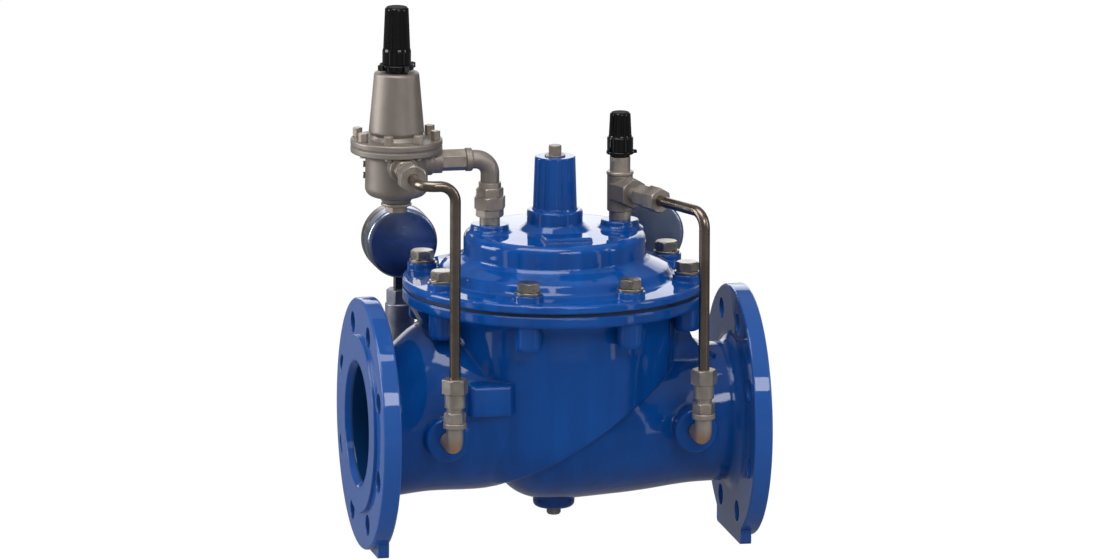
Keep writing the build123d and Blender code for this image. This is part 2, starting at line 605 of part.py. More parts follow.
# ---------- pilot valve ----------
def pilot_body():
    """Pilot body with the flange above, the link port on +X and the tube port at the front."""
    shape = turned((0, PILOT_BASE_Z), (11.9, PILOT_BASE_Z), (14.2, 199.3, 1.5),
                   (PILOT_BODY_LOW_R, 203.3, 8), (PILOT_BODY_R, 238.5, 4), (PILOT_FLANGE_R, 240.7, 1),
                   (PILOT_FLANGE_R, PILOT_JOINT_Z, 0.5), (0, PILOT_JOINT_Z))
    port = turned((0, 0), (12.5, 0), (12.5, 30), (11, 32), (11, 39.5), (0, 39.5))
    shape += Pos(0, 0, PILOT_PORT_Z) * TO_X * port
    shape += Pos(0, 0, PILOT_PORT_Z) * TO_FRONT * turned((0, 0), (12.5, 0), (12.5, PILOT_PORT_Y, 1),
                                                         (0, PILOT_PORT_Y))
    shape -= rod(16, PILOT_SEAT_Z + 8, PILOT_JOINT_Z + 5)
    shape -= turned((0, 238), (30, 241.5), (30, PILOT_JOINT_Z + 5), (0, PILOT_JOINT_Z + 5))
    shape -= rod(PILOT_SEAT_R + 0.1, 190, PILOT_SEAT_Z + 8)
    shape -= Pos(0, 0, PILOT_PORT_Z) * TO_X * rod(FITTING_THREAD_R + THREAD_CLEARANCE, 26, 45)
    shape -= Pos(0, 0, PILOT_PORT_Z) * TO_X * rod(FITTING_BORE_R, 20, 30)
    shape -= Pos(21, 0, 0) * rod(2.5, 213, PILOT_PORT_Z)
    shape -= Pos(0, 0, 213) * TO_X * rod(2.0, 0, 22)
    shape -= Pos(0, 0, PILOT_PORT_Z) * TO_FRONT * rod(FITTING_THREAD_R + THREAD_CLEARANCE, 24, 40)
    shape -= Pos(0, 0, PILOT_PORT_Z) * TO_FRONT * rod(FITTING_BORE_R, 0, 30)
    tapped = Pos(0, -PILOT_SCREW_PCD / 2, 0) * rod(PILOT_SCREW_R + 0.05, 237, PILOT_JOINT_Z + 5)
    for cutter in around(tapped, PILOT_SCREWS, 180 / PILOT_SCREWS):
        shape -= cutter
    for height in SIDE_SCREWS_Z:
        shape -= Pos(0, 0, height) * Rot(0, 0, -12) * TO_MINUS_X * rod(2.55, 19, 40)
    return Pos(PILOT_X, 0, 0) * shape


def pilot_housing():
    """Tapered spring housing with its flange and the threaded stub for the adjusting screw."""
    shape = turned((0, HOUSING_Z), (PILOT_FLANGE_R, HOUSING_Z, 0.5), (PILOT_FLANGE_R, HOUSING_FLANGE_Z,
                                                                      1.5), (25, HOUSING_FLANGE_Z, 2),
                   (22.8, 256), (HOUSING_LOW_R, 259, 1.2), (HOUSING_TOP_R, HOUSING_TOP_Z, 2.5),
                   (HOUSING_STUB_R, HOUSING_TOP_Z), (HOUSING_STUB_R, HOUSING_STUB_Z), (0, HOUSING_STUB_Z))
    shape -= turned((0, HOUSING_Z - 5), (21, HOUSING_Z - 5), (21, HOUSING_Z + 4), (18.5, 257),
                    (14.8, 303, 2), (0, 303))
    shape -= rod(ADJUST_SCREW_R + RUNNING_CLEARANCE, 300, HOUSING_STUB_Z + 5)
    hole = Pos(0, -PILOT_SCREW_PCD / 2, 0) * rod(PILOT_SCREW_R + 0.3, HOUSING_Z - 5, HOUSING_FLANGE_Z + 5)
    for cutter in around(hole, PILOT_SCREWS, 180 / PILOT_SCREWS):
        shape -= cutter
    return Pos(PILOT_X, 0, 0) * shape


def pilot_diaphragm():
    """Thin diaphragm between pilot body and spring housing."""
    sheet = tube_ring(PILOT_FLANGE_R - 0.6, 3.1, PILOT_JOINT_Z, HOUSING_Z)
    hole = Pos(0, -PILOT_SCREW_PCD / 2, 0) * rod(PILOT_SCREW_R + 0.3, PILOT_JOINT_Z - 5, HOUSING_Z + 5)
    for cutter in around(hole, PILOT_SCREWS, 180 / PILOT_SCREWS):
        sheet -= cutter
    return Pos(PILOT_X, 0, 0) * sheet


def pilot_flange_screws():
    """Hexagon screws round the pilot's flange."""
    head = hexagon(7.6, HOUSING_FLANGE_Z, HOUSING_FLANGE_Z + 8, 0.5)
    screw = Pos(0, -PILOT_SCREW_PCD / 2, 0) * (head + rod(PILOT_SCREW_R, 238.5, HOUSING_FLANGE_Z))
    return [Pos(PILOT_X, 0, 0) * piece for piece in around(screw, PILOT_SCREWS, 180 / PILOT_SCREWS)]


def pilot_side_screws():
    """Two small screws that plug drillings in the pilot body's side."""
    head_low = PILOT_BODY_LOW_R + 0.05
    screw = turned((0, 20), (2.5, 20), (2.5, head_low), (2.9, head_low), (2.9, head_low + 1.5, 0.5),
                   (0, head_low + 1.5))
    return [Pos(PILOT_X, 0, height) * Rot(0, 0, -12) * TO_MINUS_X * screw for height in SIDE_SCREWS_Z]


def pilot_bottom_plug():
    """Plug that closes the pilot body from below."""
    low = PILOT_BASE_Z - 2.3
    plug = turned((0, low), (13.3, low, 0.6), (13.3, PILOT_BASE_Z), (PILOT_SEAT_R, PILOT_BASE_Z),
                  (PILOT_SEAT_R, PILOT_BASE_Z + 6), (0, PILOT_BASE_Z + 6))
    return Pos(PILOT_X, 0, 0) * (plug + hexagon(16.8, low - 6, low, 0.8))


def pilot_seat():
    """Seat ring of the pilot."""
    ring = tube_ring(PILOT_SEAT_R, PILOT_SEAT_HOLE_R, PILOT_SEAT_Z, PILOT_SEAT_Z + 8)
    return Pos(PILOT_X, 0, 0) * ring


def pilot_stem():
    """Pilot stem: valve disc under the seat, rod through it and head under the diaphragm."""
    disc_top = PILOT_SEAT_Z - PILOT_LIFT
    stem = turned((0, disc_top - 6), (7.5, disc_top - 6), (7.5, disc_top, 0.5), (2.5, disc_top),
                  (2.5, 239.5), (12, 239.5, 1), (12, PILOT_JOINT_Z), (3, PILOT_JOINT_Z),
                  (3, HOUSING_Z + 3), (0, HOUSING_Z + 3))
    return Pos(PILOT_X, 0, 0) * stem


def lower_spring_plate():
    """Plate that takes the pilot spring's load to the diaphragm."""
    plate = turned((3.1, HOUSING_Z), (LOWER_SPRING_PLATE_R, HOUSING_Z, 0.8),
                   (LOWER_SPRING_PLATE_R, HOUSING_Z + 4, 1), (7.5, HOUSING_Z + 4), (7.5, HOUSING_Z + 7, 1),
                   (3.1, HOUSING_Z + 7))
    return Pos(PILOT_X, 0, 0) * plate


def upper_spring_plate():
    """Plate between the pilot spring and the tip of the adjusting screw."""
    low = UPPER_SPRING_PLATE_Z
    plate = turned((0, low - 3), (7.5, low - 3, 1), (7.5, low), (SPRING_PLATE_R, low, 0.6),
                   (SPRING_PLATE_R, low + 4, 1), (0, low + 4))
    return Pos(PILOT_X, 0, 0) * plate


def pilot_spring():
    """Pilot spring between its two plates."""
    spring = coil(PILOT_SPRING_R, PILOT_WIRE_R, HOUSING_Z + 4, UPPER_SPRING_PLATE_Z, PILOT_SPRING_TURNS)
    return Pos(PILOT_X, 0, 0) * spring


def adjusting_screw():
    """Pressure setting screw with a hexagon socket in its top."""
    low = UPPER_SPRING_PLATE_Z + 4
    screw = turned((0, low), (ADJUST_SCREW_R, low, 1), (ADJUST_SCREW_R, ADJUST_SCREW_TOP_Z, 0.8),
                   (0, ADJUST_SCREW_TOP_Z))
    return Pos(PILOT_X, 0, 0) * (screw - hexagon(5, ADJUST_SCREW_TOP_Z - 5, ADJUST_SCREW_TOP_Z + 5, 0.1))


def lock_nut():
    """Lock nut of the adjusting screw, on top of the housing's stub."""
    nut = hexagon(15, HOUSING_STUB_Z, HOUSING_STUB_Z + 6)
    return Pos(PILOT_X, 0, 0) * (nut - rod(ADJUST_SCREW_R + RUNNING_CLEARANCE, HOUSING_STUB_Z - 5,
                                           HOUSING_STUB_Z + 10))


def cap_collar(stub_r, low, high, ring_r, tabs):
    """Plastic ring under a cap, with small tabs on its skirt."""
    skirt_r = stub_r + 2.2
    ring = turned((stub_r + 0.2, low), (skirt_r, low, 0.6), (skirt_r, low + 2), (ring_r, low + 2.5, 0.8),
                  (ring_r, high, 0.8), (stub_r + 0.2, high))
    tab = Pos(0, -ring_r - 0.8, (low + 2.5 + high) / 2) * Box(5, 3.6, high - low - 2.5)
    for piece in around(tab, tabs, 20):
        ring += piece
    return ring


def fluted_cap(low, sleeve_top, top, sleeve_r, low_r, top_r, bore_r):
    """Tall plastic cap: plain sleeve below, tapered and fluted grip above, hollow and open below."""
    shape = turned((0, low), (sleeve_r, low, 0.6), (sleeve_r, sleeve_top, 1),
                   (low_r + 0.3, sleeve_top + 1, 0.3), (low_r, sleeve_top + 2), (top_r, top, 2.5), (0, top))
    taper = math.degrees(math.atan((low_r - top_r) / (top - sleeve_top - 2)))
    groove = Pos(low_r + 1.1, 0, sleeve_top + 2) * Rot(0, -taper, 0) * rod(1.9, 0, top - sleeve_top)
    for cutter in around(groove, CAP_FLUTES, 0):
        shape -= cutter
    return shape - rod(bore_r, low - 1, top - 3)


def pilot_cap():
    """Tall cap over the adjusting screw."""
    cap = fluted_cap(CAP_COLLAR_Z, CAP_SLEEVE_Z, CAP_TOP_Z, 12.5, CAP_LOW_R, CAP_TOP_R, CAP_BORE_R)
    return Pos(PILOT_X, 0, 0) * cap


# ---------- link between pilot and cover ----------
def link_boss_nipple():
    """Union half screwed into the cover's line boss."""
    nipple = rod(FITTING_THREAD_R, LINK_BOSS_Z - 12, LINK_BOSS_Z) + rod(8.9, LINK_BOSS_Z, LINK_BOSS_Z + 6.5)
    nipple += hexagon(21.5, LINK_BOSS_Z + 6.5, LINK_BOSS_Z + 13.5) + rod(8, LINK_BOSS_Z + 13.5, LINK_BOSS_Z
                                                                         + 19)
    return Pos(LINK_X, 0, 0) * (nipple - rod(FITTING_BORE_R, LINK_BOSS_Z - 20, LINK_BOSS_Z + 30))


def link_union_nut():
    """Union nut."""
    low = LINK_BOSS_Z + 13.5
    return Pos(LINK_X, 0, 0) * (Rot(0, 0, 10) * hexagon(25, low, low + 11, 1.0)
                                - rod(8.1, low - 5, low + 20))


def link_union_tail():
    """Upper union half with its spanner hexagon and socket."""
    low = LINK_BOSS_Z + 19
    tail = rod(8, low, low + 5.5) + hexagon(21, low + 5.5, low + 13) + rod(9.8, low + 13, low + 18)
    return Pos(LINK_X, 0, 0) * (tail - rod(FITTING_BORE_R, low - 5, low + 12.5)
                                - rod(6.6, low + 12.5, low + 25))


def link_elbow():
    """Long-radius elbow from the union up and over to the pilot."""
    low = LINK_BOSS_Z + 32
    end_x = LINK_X - 22
    corners = [(LINK_X, 0, low + 5), (LINK_X, 0, PILOT_PORT_Z), (end_x, 0, PILOT_PORT_Z)]
    shape = bent_bar(8.2, corners, 13)
    shape += Pos(LINK_X, 0, 0) * rod(6.5, low, low + 6)
    shape += Pos(end_x, 0, PILOT_PORT_Z) * TO_X * turned((0, 0), (10.2, 0, 0.8), (10.2, 6, 1.5), (0, 6))
    bore = [(LINK_X, 0, low - 5), (LINK_X, 0, PILOT_PORT_Z), (end_x - 5, 0, PILOT_PORT_Z)]
    shape -= bent_bar(FITTING_BORE_R, bore, 13)
    return shape - Pos(end_x, 0, PILOT_PORT_Z) * TO_X * rod(FITTING_THREAD_R + THREAD_CLEARANCE, -5, 6)


def pilot_link_nipple():
    """Long hexagon nipple between the elbow and the pilot's side port."""
    low = PILOT_X + 39.5
    high = LINK_X - 22
    nipple = hexagon(16.5, low, high, 0.6) + rod(FITTING_THREAD_R, low - 10, high + 5.5)
    return Pos(0, 0, PILOT_PORT_Z) * TO_X * (nipple - rod(FITTING_BORE_R, low - 20, high + 20))


# ---------- needle valve ----------
def branch_frame():
    """Place and direction of the needle valve's side branch, which points at the inlet tube."""
    reach = Vector(INLET_PORT_X - NEEDLE_X, TUBE_Y, 0)
    return Plane(origin=(NEEDLE_X, 0, NEEDLE_AXIS_Z), x_dir=(0, 0, 1), z_dir=tuple(reach.normalized()))


def needle_nipple():
    """Nipple between the cover's line boss and the needle valve."""
    nipple = rod(FITTING_THREAD_R, LINK_BOSS_Z - 12, NEEDLE_BODY_LOW_Z + 6) + rod(9.5, LINK_BOSS_Z,
                                                                                   NEEDLE_BODY_LOW_Z)
    return Pos(NEEDLE_X, 0, 0) * (nipple - rod(NEEDLE_SEAT_R, LINK_BOSS_Z - 20, NEEDLE_BODY_LOW_Z + 20))


def needle_body():
    """Needle valve body: an upright barrel with a hexagonal side branch."""
    low = NEEDLE_BODY_LOW_Z
    top = NEEDLE_BODY_TOP_Z
    barrel_part = turned((0, low), (NEEDLE_BODY_R, low, 1), (NEEDLE_BODY_R, top, 1), (0, top))
    branch = branch_frame()
    shape = Pos(NEEDLE_X, 0, 0) * barrel_part + branch * hexagon(BRANCH_AF, 0, BRANCH_REACH, 1.2)
    shape -= Pos(NEEDLE_X, 0, 0) * rod(NEEDLE_BORE_R, NEEDLE_SEAT_Z, top + 5)
    shape -= Pos(NEEDLE_X, 0, 0) * rod(NEEDLE_SEAT_R, low - 5, NEEDLE_SEAT_Z + 1)
    shape -= Pos(NEEDLE_X, 0, 0) * rod(FITTING_THREAD_R + THREAD_CLEARANCE, low - 5, low + 6)
    shape -= Pos(NEEDLE_X, 0, 0) * rod(FITTING_THREAD_R + THREAD_CLEARANCE, top - 6, top + 5)
    shape -= branch * rod(FITTING_BORE_R, 0, BRANCH_REACH + 1)
    return shape - branch * rod(CONNECTOR_THREAD_R + THREAD_CLEARANCE, BRANCH_REACH - 7, BRANCH_REACH + 1)


def needle_gland():
    """Gland that guides the needle spindle and carries the cap."""
    top = NEEDLE_BODY_TOP_Z
    gland = turned((0, top - 5.5), (FITTING_THREAD_R, top - 5.5), (FITTING_THREAD_R, top),
                   (11.8, top, 0.6), (11.8, top + 2.8, 0.8), (NEEDLE_GLAND_R, top + 2.8),
                   (NEEDLE_GLAND_R, NEEDLE_GLAND_Z),
                   (NEEDLE_STUB_R, NEEDLE_GLAND_Z), (NEEDLE_STUB_R, NEEDLE_STUB_Z), (0, NEEDLE_STUB_Z))
    return Pos(NEEDLE_X, 0, 0) * (gland - rod(NEEDLE_SPINDLE_R + RUNNING_CLEARANCE, top - 10,
                                              NEEDLE_STUB_Z + 5))


def needle_plug():
    """Swivel tip of the needle, which travels up and down without turning."""
    low = NEEDLE_SEAT_Z
    tip = turned((0, low), (0.8, low), (3.9, low + 9), (4.6, low + 9), (4.6, low + 12, 0.4), (0, low + 12))
    return Pos(NEEDLE_X, 0, 0) * tip


def needle_spindle():
    """Needle spindle with a screwdriver slot in its top."""
    low = NEEDLE_SEAT_Z + 12
    spindle = turned((0, low), (NEEDLE_SPINDLE_R, low), (NEEDLE_SPINDLE_R, NEEDLE_SPINDLE_TOP_Z, 0.6),
                     (0, NEEDLE_SPINDLE_TOP_Z))
    return Pos(NEEDLE_X, 0, 0) * (spindle - Pos(0, 0, NEEDLE_SPINDLE_TOP_Z) * Box(1.4, 12, 4))


def needle_cap_collar():
    """Ring under the needle cap."""
    collar = cap_collar(NEEDLE_STUB_R, NEEDLE_GLAND_Z, NEEDLE_GLAND_Z + 5, 12.0, 1)
    return Pos(NEEDLE_X, 0, 0) * Rot(0, 0, 75) * collar


def needle_cap():
    """Cap over the needle spindle."""
    cap = fluted_cap(NEEDLE_GLAND_Z + 5, NEEDLE_CAP_SLEEVE_Z, NEEDLE_CAP_TOP_Z, 11.4, 9.9, 8.9, 7.2)
    return Pos(NEEDLE_X, 0, 0) * cap


# ---------- control tubes and their fittings ----------
def connector(stages, socket, spigot):
    """Tube connector along +Z: thread below 0, stages of (form, size, end height), then the nut thread."""
    shape = rod(CONNECTOR_THREAD_R, -6, 0)
    low = 0
    for form, size, high in stages:
        shape += hexagon(size, low, high) if form == "hexagon" else rod(size, low, high)
        low = high
    shape += rod(NUT_THREAD_R, low, low + spigot)
    return shape - rod(TUBE_R + 0.05, socket, 99) - rod(TUBE_BORE_R, -9, socket)


def tube_nut(across_flats, height):
    """Compression nut standing on Z 0 over the connector's nut thread."""
    nut = hexagon(across_flats, 0, height, 1.0)
    return nut - rod(NUT_THREAD_R + THREAD_CLEARANCE, -1, height - 3) - rod(TUBE_R + 0.1, 0, height + 1)


def ferrule(low):
    """Cutting ring inside the nut, on the tube."""
    outer = NUT_THREAD_R - 0.1
    return turned((TUBE_R + 0.05, low), (outer - 0.9, low), (outer, low + 2), (outer, low + 3.4),
                  (TUBE_R + 0.05, low + 3.4))


def fitting_places():
    """Place, connector stages, socket height, nut size, nut height and nut turn of the four tube ends."""
    lower_stages = [("hexagon", 17, 9.3), ("round", 7.2, 13.7), ("round", 8.9, 25.6)]
    lower = [(Plane(origin=(x, TUBE_Y, PORT_ELBOW_TOP_Z)), lower_stages, 14.5, TUBE_NUT_AF, 13.2, 0)
             for x in PORTS_X]
    pilot_port = Plane(origin=(PILOT_X, -PILOT_PORT_Y, PILOT_PORT_Z), x_dir=(1, 0, 0), z_dir=(0, -1, 0))
    pilot_stages = [("hexagon", 17.5, 10), ("round", 7.5, 14), ("round", 9, 27)]
    branch = branch_frame()
    branch_end = Plane(origin=branch.origin + branch.z_dir * BRANCH_REACH, x_dir=branch.x_dir,
                       z_dir=branch.z_dir)
    branch_stages = [("round", 7.5, 7.7), ("hexagon", 17.5, 22.7)]
    return lower + [(pilot_port, pilot_stages, 15, PILOT_TUBE_NUT_AF, 15, 30),
                    (branch_end, branch_stages, 12, TUBE_NUT_AF, 15, 0)]


def tube_connectors():
    """The four tube connectors."""
    return [place * connector(stages, socket, height - 7)
            for place, stages, socket, flats, height, turn in fitting_places()]


def tube_nuts():
    """The four compression nuts."""
    return [place * Pos(0, 0, stages[-1][2]) * Rot(0, 0, turn) * tube_nut(flats, height)
            for place, stages, socket, flats, height, turn in fitting_places()]


def tube_ferrules():
    """The four cutting rings."""
    return [place * ferrule(stages[-1][2] + height - 6.8)
            for place, stages, socket, flats, height, turn in fitting_places()]


def port_elbows():
    """Two male elbows screwed into the front ports."""
    elbows = []
    face = -PORT_FACE_Y
    top = PORT_ELBOW_TOP_Z
    collar = turned((0, top - 4.7), (10.2, top - 4.7, 0.8), (10.2, top, 0.8), (0, top))
    for x in PORTS_X:
        elbow = bent_bar(ELBOW_R, [(x, face, 0), (x, TUBE_Y, 0), (x, TUBE_Y, top - 3)], 9)
        elbow += Pos(x, TUBE_Y, 0) * collar
        elbow += Pos(x, 0, 0) * TO_FRONT * rod(FITTING_THREAD_R, PORT_FACE_Y - 13, PORT_FACE_Y)
        elbow -= bent_bar(TUBE_BORE_R, [(x, face + 18, 0), (x, TUBE_Y, 0), (x, TUBE_Y, top + 3)], 9)
        elbows.append(elbow - Pos(x, TUBE_Y, 0) * rod(CONNECTOR_THREAD_R + THREAD_CLEARANCE, top - 6.2,
                                                      top + 3))
    return elbows


def control_tube(corners, bends):
    """Bent control tube with its bore."""
    return bent_bar(TUBE_R, corners, bends) - bent_bar(TUBE_BORE_R, corners, bends)


def inlet_tube():
    """Tube from the needle valve's branch down to the inlet port."""
    start = branch_frame().origin + branch_frame().z_dir * (BRANCH_REACH + 13)
    corners = [tuple(start), (INLET_PORT_X, TUBE_Y, NEEDLE_AXIS_Z),
               (INLET_PORT_X, TUBE_Y, PORT_ELBOW_TOP_Z + 15.3)]
    return control_tube(corners, TUBE_BEND_R)


def outlet_tube():
    """Tube from the pilot's front port down to the outlet port."""
    corners = [(PILOT_X, -PILOT_PORT_Y - 16, PILOT_PORT_Z), (PILOT_X, TUBE_Y, PILOT_PORT_Z),
               (OUTLET_PORT_X, TUBE_Y, PILOT_PORT_Z), (OUTLET_PORT_X, TUBE_Y, PORT_ELBOW_TOP_Z + 15.3)]
    return control_tube(corners, TUBE_BEND_R)


# ---------- gauges ----------
def gauge_elbows():
    """Two elbows from the rear ports up to the gauges."""
    elbows = []
    for x in PORTS_X:
        low = GAUGE_ADAPTER_LOW_Z
        elbow = bent_bar(ELBOW_R, [(x, PORT_FACE_Y, 0), (x, GAUGE_STEM_Y, 0), (x, GAUGE_STEM_Y, low)], 13)
        elbow += Pos(x, 0, 0) * TO_REAR * (rod(FITTING_THREAD_R, PORT_FACE_Y - 13, PORT_FACE_Y)
                                           + hexagon(19, PORT_FACE_Y, PORT_FACE_Y + 9))
        elbow += Pos(x, GAUGE_STEM_Y, 0) * (rod(10.2, low - 8, low)
                                               + rod(CONNECTOR_THREAD_R, low, low + 6))
        elbow -= bent_bar(TUBE_BORE_R, [(x, PORT_FACE_Y - 18, 0), (x, GAUGE_STEM_Y, 0),
                                        (x, GAUGE_STEM_Y, low + 9)], 13)
        elbows.append(elbow)
    return elbows


def gauge_adapters():
    """Two thick-walled adapters that carry the gauges."""
    low, high, top = GAUGE_ADAPTER_LOW_Z, GAUGE_ADAPTER_TOP_Z, GAUGE_HEX_TOP_Z
    piece = turned((0, low), (GAUGE_ADAPTER_R, low, 1.5), (GAUGE_ADAPTER_R, high, 1.5), (0, high))
    piece += hexagon(21, high, top, 0.8)
    piece -= rod(2.5, low - 1, top + 1)
    piece -= rod(5.6, low - 1, low + 6.5)
    piece -= rod(5.6, top - 9, top + 1)
    return [Pos(x, GAUGE_STEM_Y, 0) * piece for x in PORTS_X]


def gauge_cases():
    """Two steel cases, each with its square-shanked stem and the bearing of its pointer."""
    cases = []
    for x in PORTS_X:
        pan = turned((0, GAUGE_BACK_Y), (GAUGE_CASE_R, GAUGE_BACK_Y, 3.5),
                     (GAUGE_CASE_R, GAUGE_NECK_Y, 0.8), (GAUGE_NECK_R, GAUGE_NECK_Y),
                     (GAUGE_NECK_R, GAUGE_RIM_Y), (0, GAUGE_RIM_Y))
        pan -= rod(GAUGE_BORE_R, GAUGE_BACK_Y + GAUGE_WALL, GAUGE_RIM_Y + 5)
        pan += tube_ring(GAUGE_BORE_R + 0.2, GAUGE_BORE_R - 3.5, GAUGE_BACK_Y + 1, GAUGE_DIAL_Y)
        pan += rod(6, GAUGE_BACK_Y + 1, GAUGE_DIAL_Y)
        pan -= rod(GAUGE_SPINDLE_R + RUNNING_CLEARANCE, GAUGE_BACK_Y + 5, GAUGE_DIAL_Y + 5)
        case = Pos(x, 0, GAUGE_CENTRE_Z) * TO_REAR * pan
        shank_top = GAUGE_CENTRE_Z - GAUGE_CASE_R + 3
        length = shank_top - GAUGE_HEX_TOP_Z
        case += Pos(x, GAUGE_STEM_Y, GAUGE_HEX_TOP_Z + length / 2) * Box(GAUGE_SOCKET_AF, GAUGE_SOCKET_AF,
                                                                         length)
        case += Pos(x, GAUGE_STEM_Y, 0) * rod(5.5, GAUGE_HEX_TOP_Z - 8, GAUGE_HEX_TOP_Z)
        cases.append(case)
    return cases


def gauge_rings():
    """Two bezel rings pressed over the cases."""
    inner = GAUGE_NECK_R + 0.1
    ring = turned((inner, GAUGE_NECK_Y), (GAUGE_BEZEL_R, GAUGE_NECK_Y, 0.5),
                  (GAUGE_BEZEL_R, GAUGE_BEZEL_Y, 2), (GAUGE_LIP_R, GAUGE_BEZEL_Y, 0.8),
                  (GAUGE_LIP_R, GAUGE_RIM_Y + 0.6), (inner, GAUGE_RIM_Y + 0.6))
    return [Pos(x, 0, GAUGE_CENTRE_Z) * TO_REAR * ring for x in PORTS_X]


def gauge_glasses():
    """Two flat windows held between case and bezel ring."""
    pane = rod(GAUGE_BORE_R - 0.1, GAUGE_GLASS_Y, GAUGE_RIM_Y + 0.5)
    return [Pos(x, 0, GAUGE_CENTRE_Z) * TO_REAR * pane for x in PORTS_X]


def gauge_dials():
    """Two dial plates, resting on the ledge in the case."""
    plate = tube_ring(GAUGE_BORE_R - 0.1, GAUGE_SPINDLE_R + 0.3, GAUGE_DIAL_Y, GAUGE_DIAL_Y + 0.8)
    return [Pos(x, 0, GAUGE_CENTRE_Z) * TO_REAR * plate for x in PORTS_X]


def gauge_pointer(x):
    """Pointer on its spindle, standing at zero on the lower left of the dial."""
    needle_y = GAUGE_DIAL_Y + 2.2
    outline = Polyline((-1.4, -9), (1.4, -9), (1.3, 0), (0.25, POINTER_LENGTH), (-0.25, POINTER_LENGTH),
                       (-1.3, 0), close=True)
    blade = extrude(Plane.XY.offset(needle_y) * make_face(outline), 0.7)
    hub = turned((0, needle_y - 0.6), (3, needle_y - 0.6), (3, needle_y + 1.6, 0.5), (0, needle_y + 1.6))
    spindle = rod(GAUGE_SPINDLE_R, GAUGE_BACK_Y + 6, needle_y)
    zero = Rot(0, 0, -45)
    return Pos(x, 0, GAUGE_CENTRE_Z) * TO_REAR * (zero * (blade + hub + spindle))


# ---------- output ----------
os.makedirs("parts", exist_ok=True)
write("body", body())
write("cover", cover())
write("cover_bolts", cover_bolts())
write("cover_washers", cover_washers())
write("tower_plug", tower_plug())
write("drain_plug", drain_plug())
write("main_diaphragm", main_diaphragm())
write("main_spring", main_spring())
write("stem_bush", stem_bush())
write("seat_ring", seat_ring())
write("main_stem", main_stem())
write("disc_guide", disc_guide())
write("disc_seal", disc_seal())
write("disc_retainer", disc_retainer())
write("guide_nut", guide_nut())
write("lower_diaphragm_plate", lower_plate())
write("upper_diaphragm_plate", upper_plate())
write("stem_nut", stem_nut())
write("pilot_body", pilot_body())
write("pilot_spring_housing", pilot_housing())
write("pilot_diaphragm", pilot_diaphragm())
write("pilot_flange_screws", pilot_flange_screws())
write("pilot_side_screws", pilot_side_screws())
write("pilot_bottom_plug", pilot_bottom_plug())
write("pilot_seat", pilot_seat())
write("pilot_stem", pilot_stem())
write("pilot_lower_spring_plate", lower_spring_plate())
write("pilot_upper_spring_plate", upper_spring_plate())
write("pilot_spring", pilot_spring())
write("pilot_adjusting_screw", adjusting_screw())
write("pilot_lock_nut", lock_nut())
write("pilot_cap_collar", Pos(PILOT_X, 0, 0) * cap_collar(HOUSING_STUB_R, HOUSING_TOP_Z, CAP_COLLAR_Z,
                                                          15.0, 4))
write("pilot_cap", pilot_cap())
write("pilot_link_nipple", pilot_link_nipple())
write("link_elbow", link_elbow())
write("link_union_tail", link_union_tail())
write("link_union_nut", link_union_nut())
write("link_boss_nipple", link_boss_nipple())
write("needle_nipple", needle_nipple())
write("needle_valve_body", needle_body())
write("needle_gland", needle_gland())
write("needle_plug", needle_plug())
write("needle_spindle", needle_spindle())
write("needle_cap_collar", needle_cap_collar())
write("needle_cap", needle_cap())
write("tube_connectors", tube_connectors())
write("tube_nuts", tube_nuts())
write("tube_ferrules", tube_ferrules())
write("port_elbows", port_elbows())
write("inlet_tube", inlet_tube())
write("outlet_tube", outlet_tube())
write("gauge_elbows", gauge_elbows())
write("gauge_adapters", gauge_adapters())
write("gauge_cases", gauge_cases())
write("gauge_bezel_rings", gauge_rings())
write("gauge_windows", gauge_glasses())
write("gauge_dials", gauge_dials())
write("outlet_gauge_pointer", gauge_pointer(OUTLET_PORT_X))
write("inlet_gauge_pointer", gauge_pointer(INLET_PORT_X))
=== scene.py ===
import math

import bpy
import numpy as np
from mathutils import Matrix, Vector


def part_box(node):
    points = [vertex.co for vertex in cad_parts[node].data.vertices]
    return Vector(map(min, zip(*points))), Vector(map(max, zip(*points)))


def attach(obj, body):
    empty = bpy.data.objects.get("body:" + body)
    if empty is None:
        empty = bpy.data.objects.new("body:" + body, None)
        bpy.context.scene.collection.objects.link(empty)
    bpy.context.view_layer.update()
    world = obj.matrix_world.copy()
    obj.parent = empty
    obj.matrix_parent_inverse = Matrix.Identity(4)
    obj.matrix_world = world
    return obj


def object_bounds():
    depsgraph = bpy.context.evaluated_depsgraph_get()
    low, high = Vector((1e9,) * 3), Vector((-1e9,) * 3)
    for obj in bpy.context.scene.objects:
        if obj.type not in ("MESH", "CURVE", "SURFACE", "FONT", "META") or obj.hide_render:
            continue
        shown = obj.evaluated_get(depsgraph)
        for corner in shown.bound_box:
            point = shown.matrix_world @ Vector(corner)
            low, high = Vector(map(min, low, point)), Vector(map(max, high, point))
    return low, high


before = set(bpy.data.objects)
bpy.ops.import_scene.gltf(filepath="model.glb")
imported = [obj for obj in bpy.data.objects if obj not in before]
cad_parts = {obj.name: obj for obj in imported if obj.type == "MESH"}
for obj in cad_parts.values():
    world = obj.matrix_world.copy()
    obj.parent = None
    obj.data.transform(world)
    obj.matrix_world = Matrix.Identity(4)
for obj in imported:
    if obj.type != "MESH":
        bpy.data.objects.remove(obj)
cad_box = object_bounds()

# ---- camera ----
# A long lens far away, a little to the left and slightly above, so upright edges stay upright
# and both flanges show almost without perspective.
body_low, body_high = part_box("body")
half_length = (body_high.x - body_low.x) / 2
flange_centre = Vector((body_low.x + half_length, 0, 0))
frame_width = 0.9758
lens = 760.0
sensor_width = 36.0
azimuth = math.radians(-11.46)
elevation = math.radians(11.83)
roll = math.radians(0.23)
aim_right = 0.0052
aim_up = 0.1185

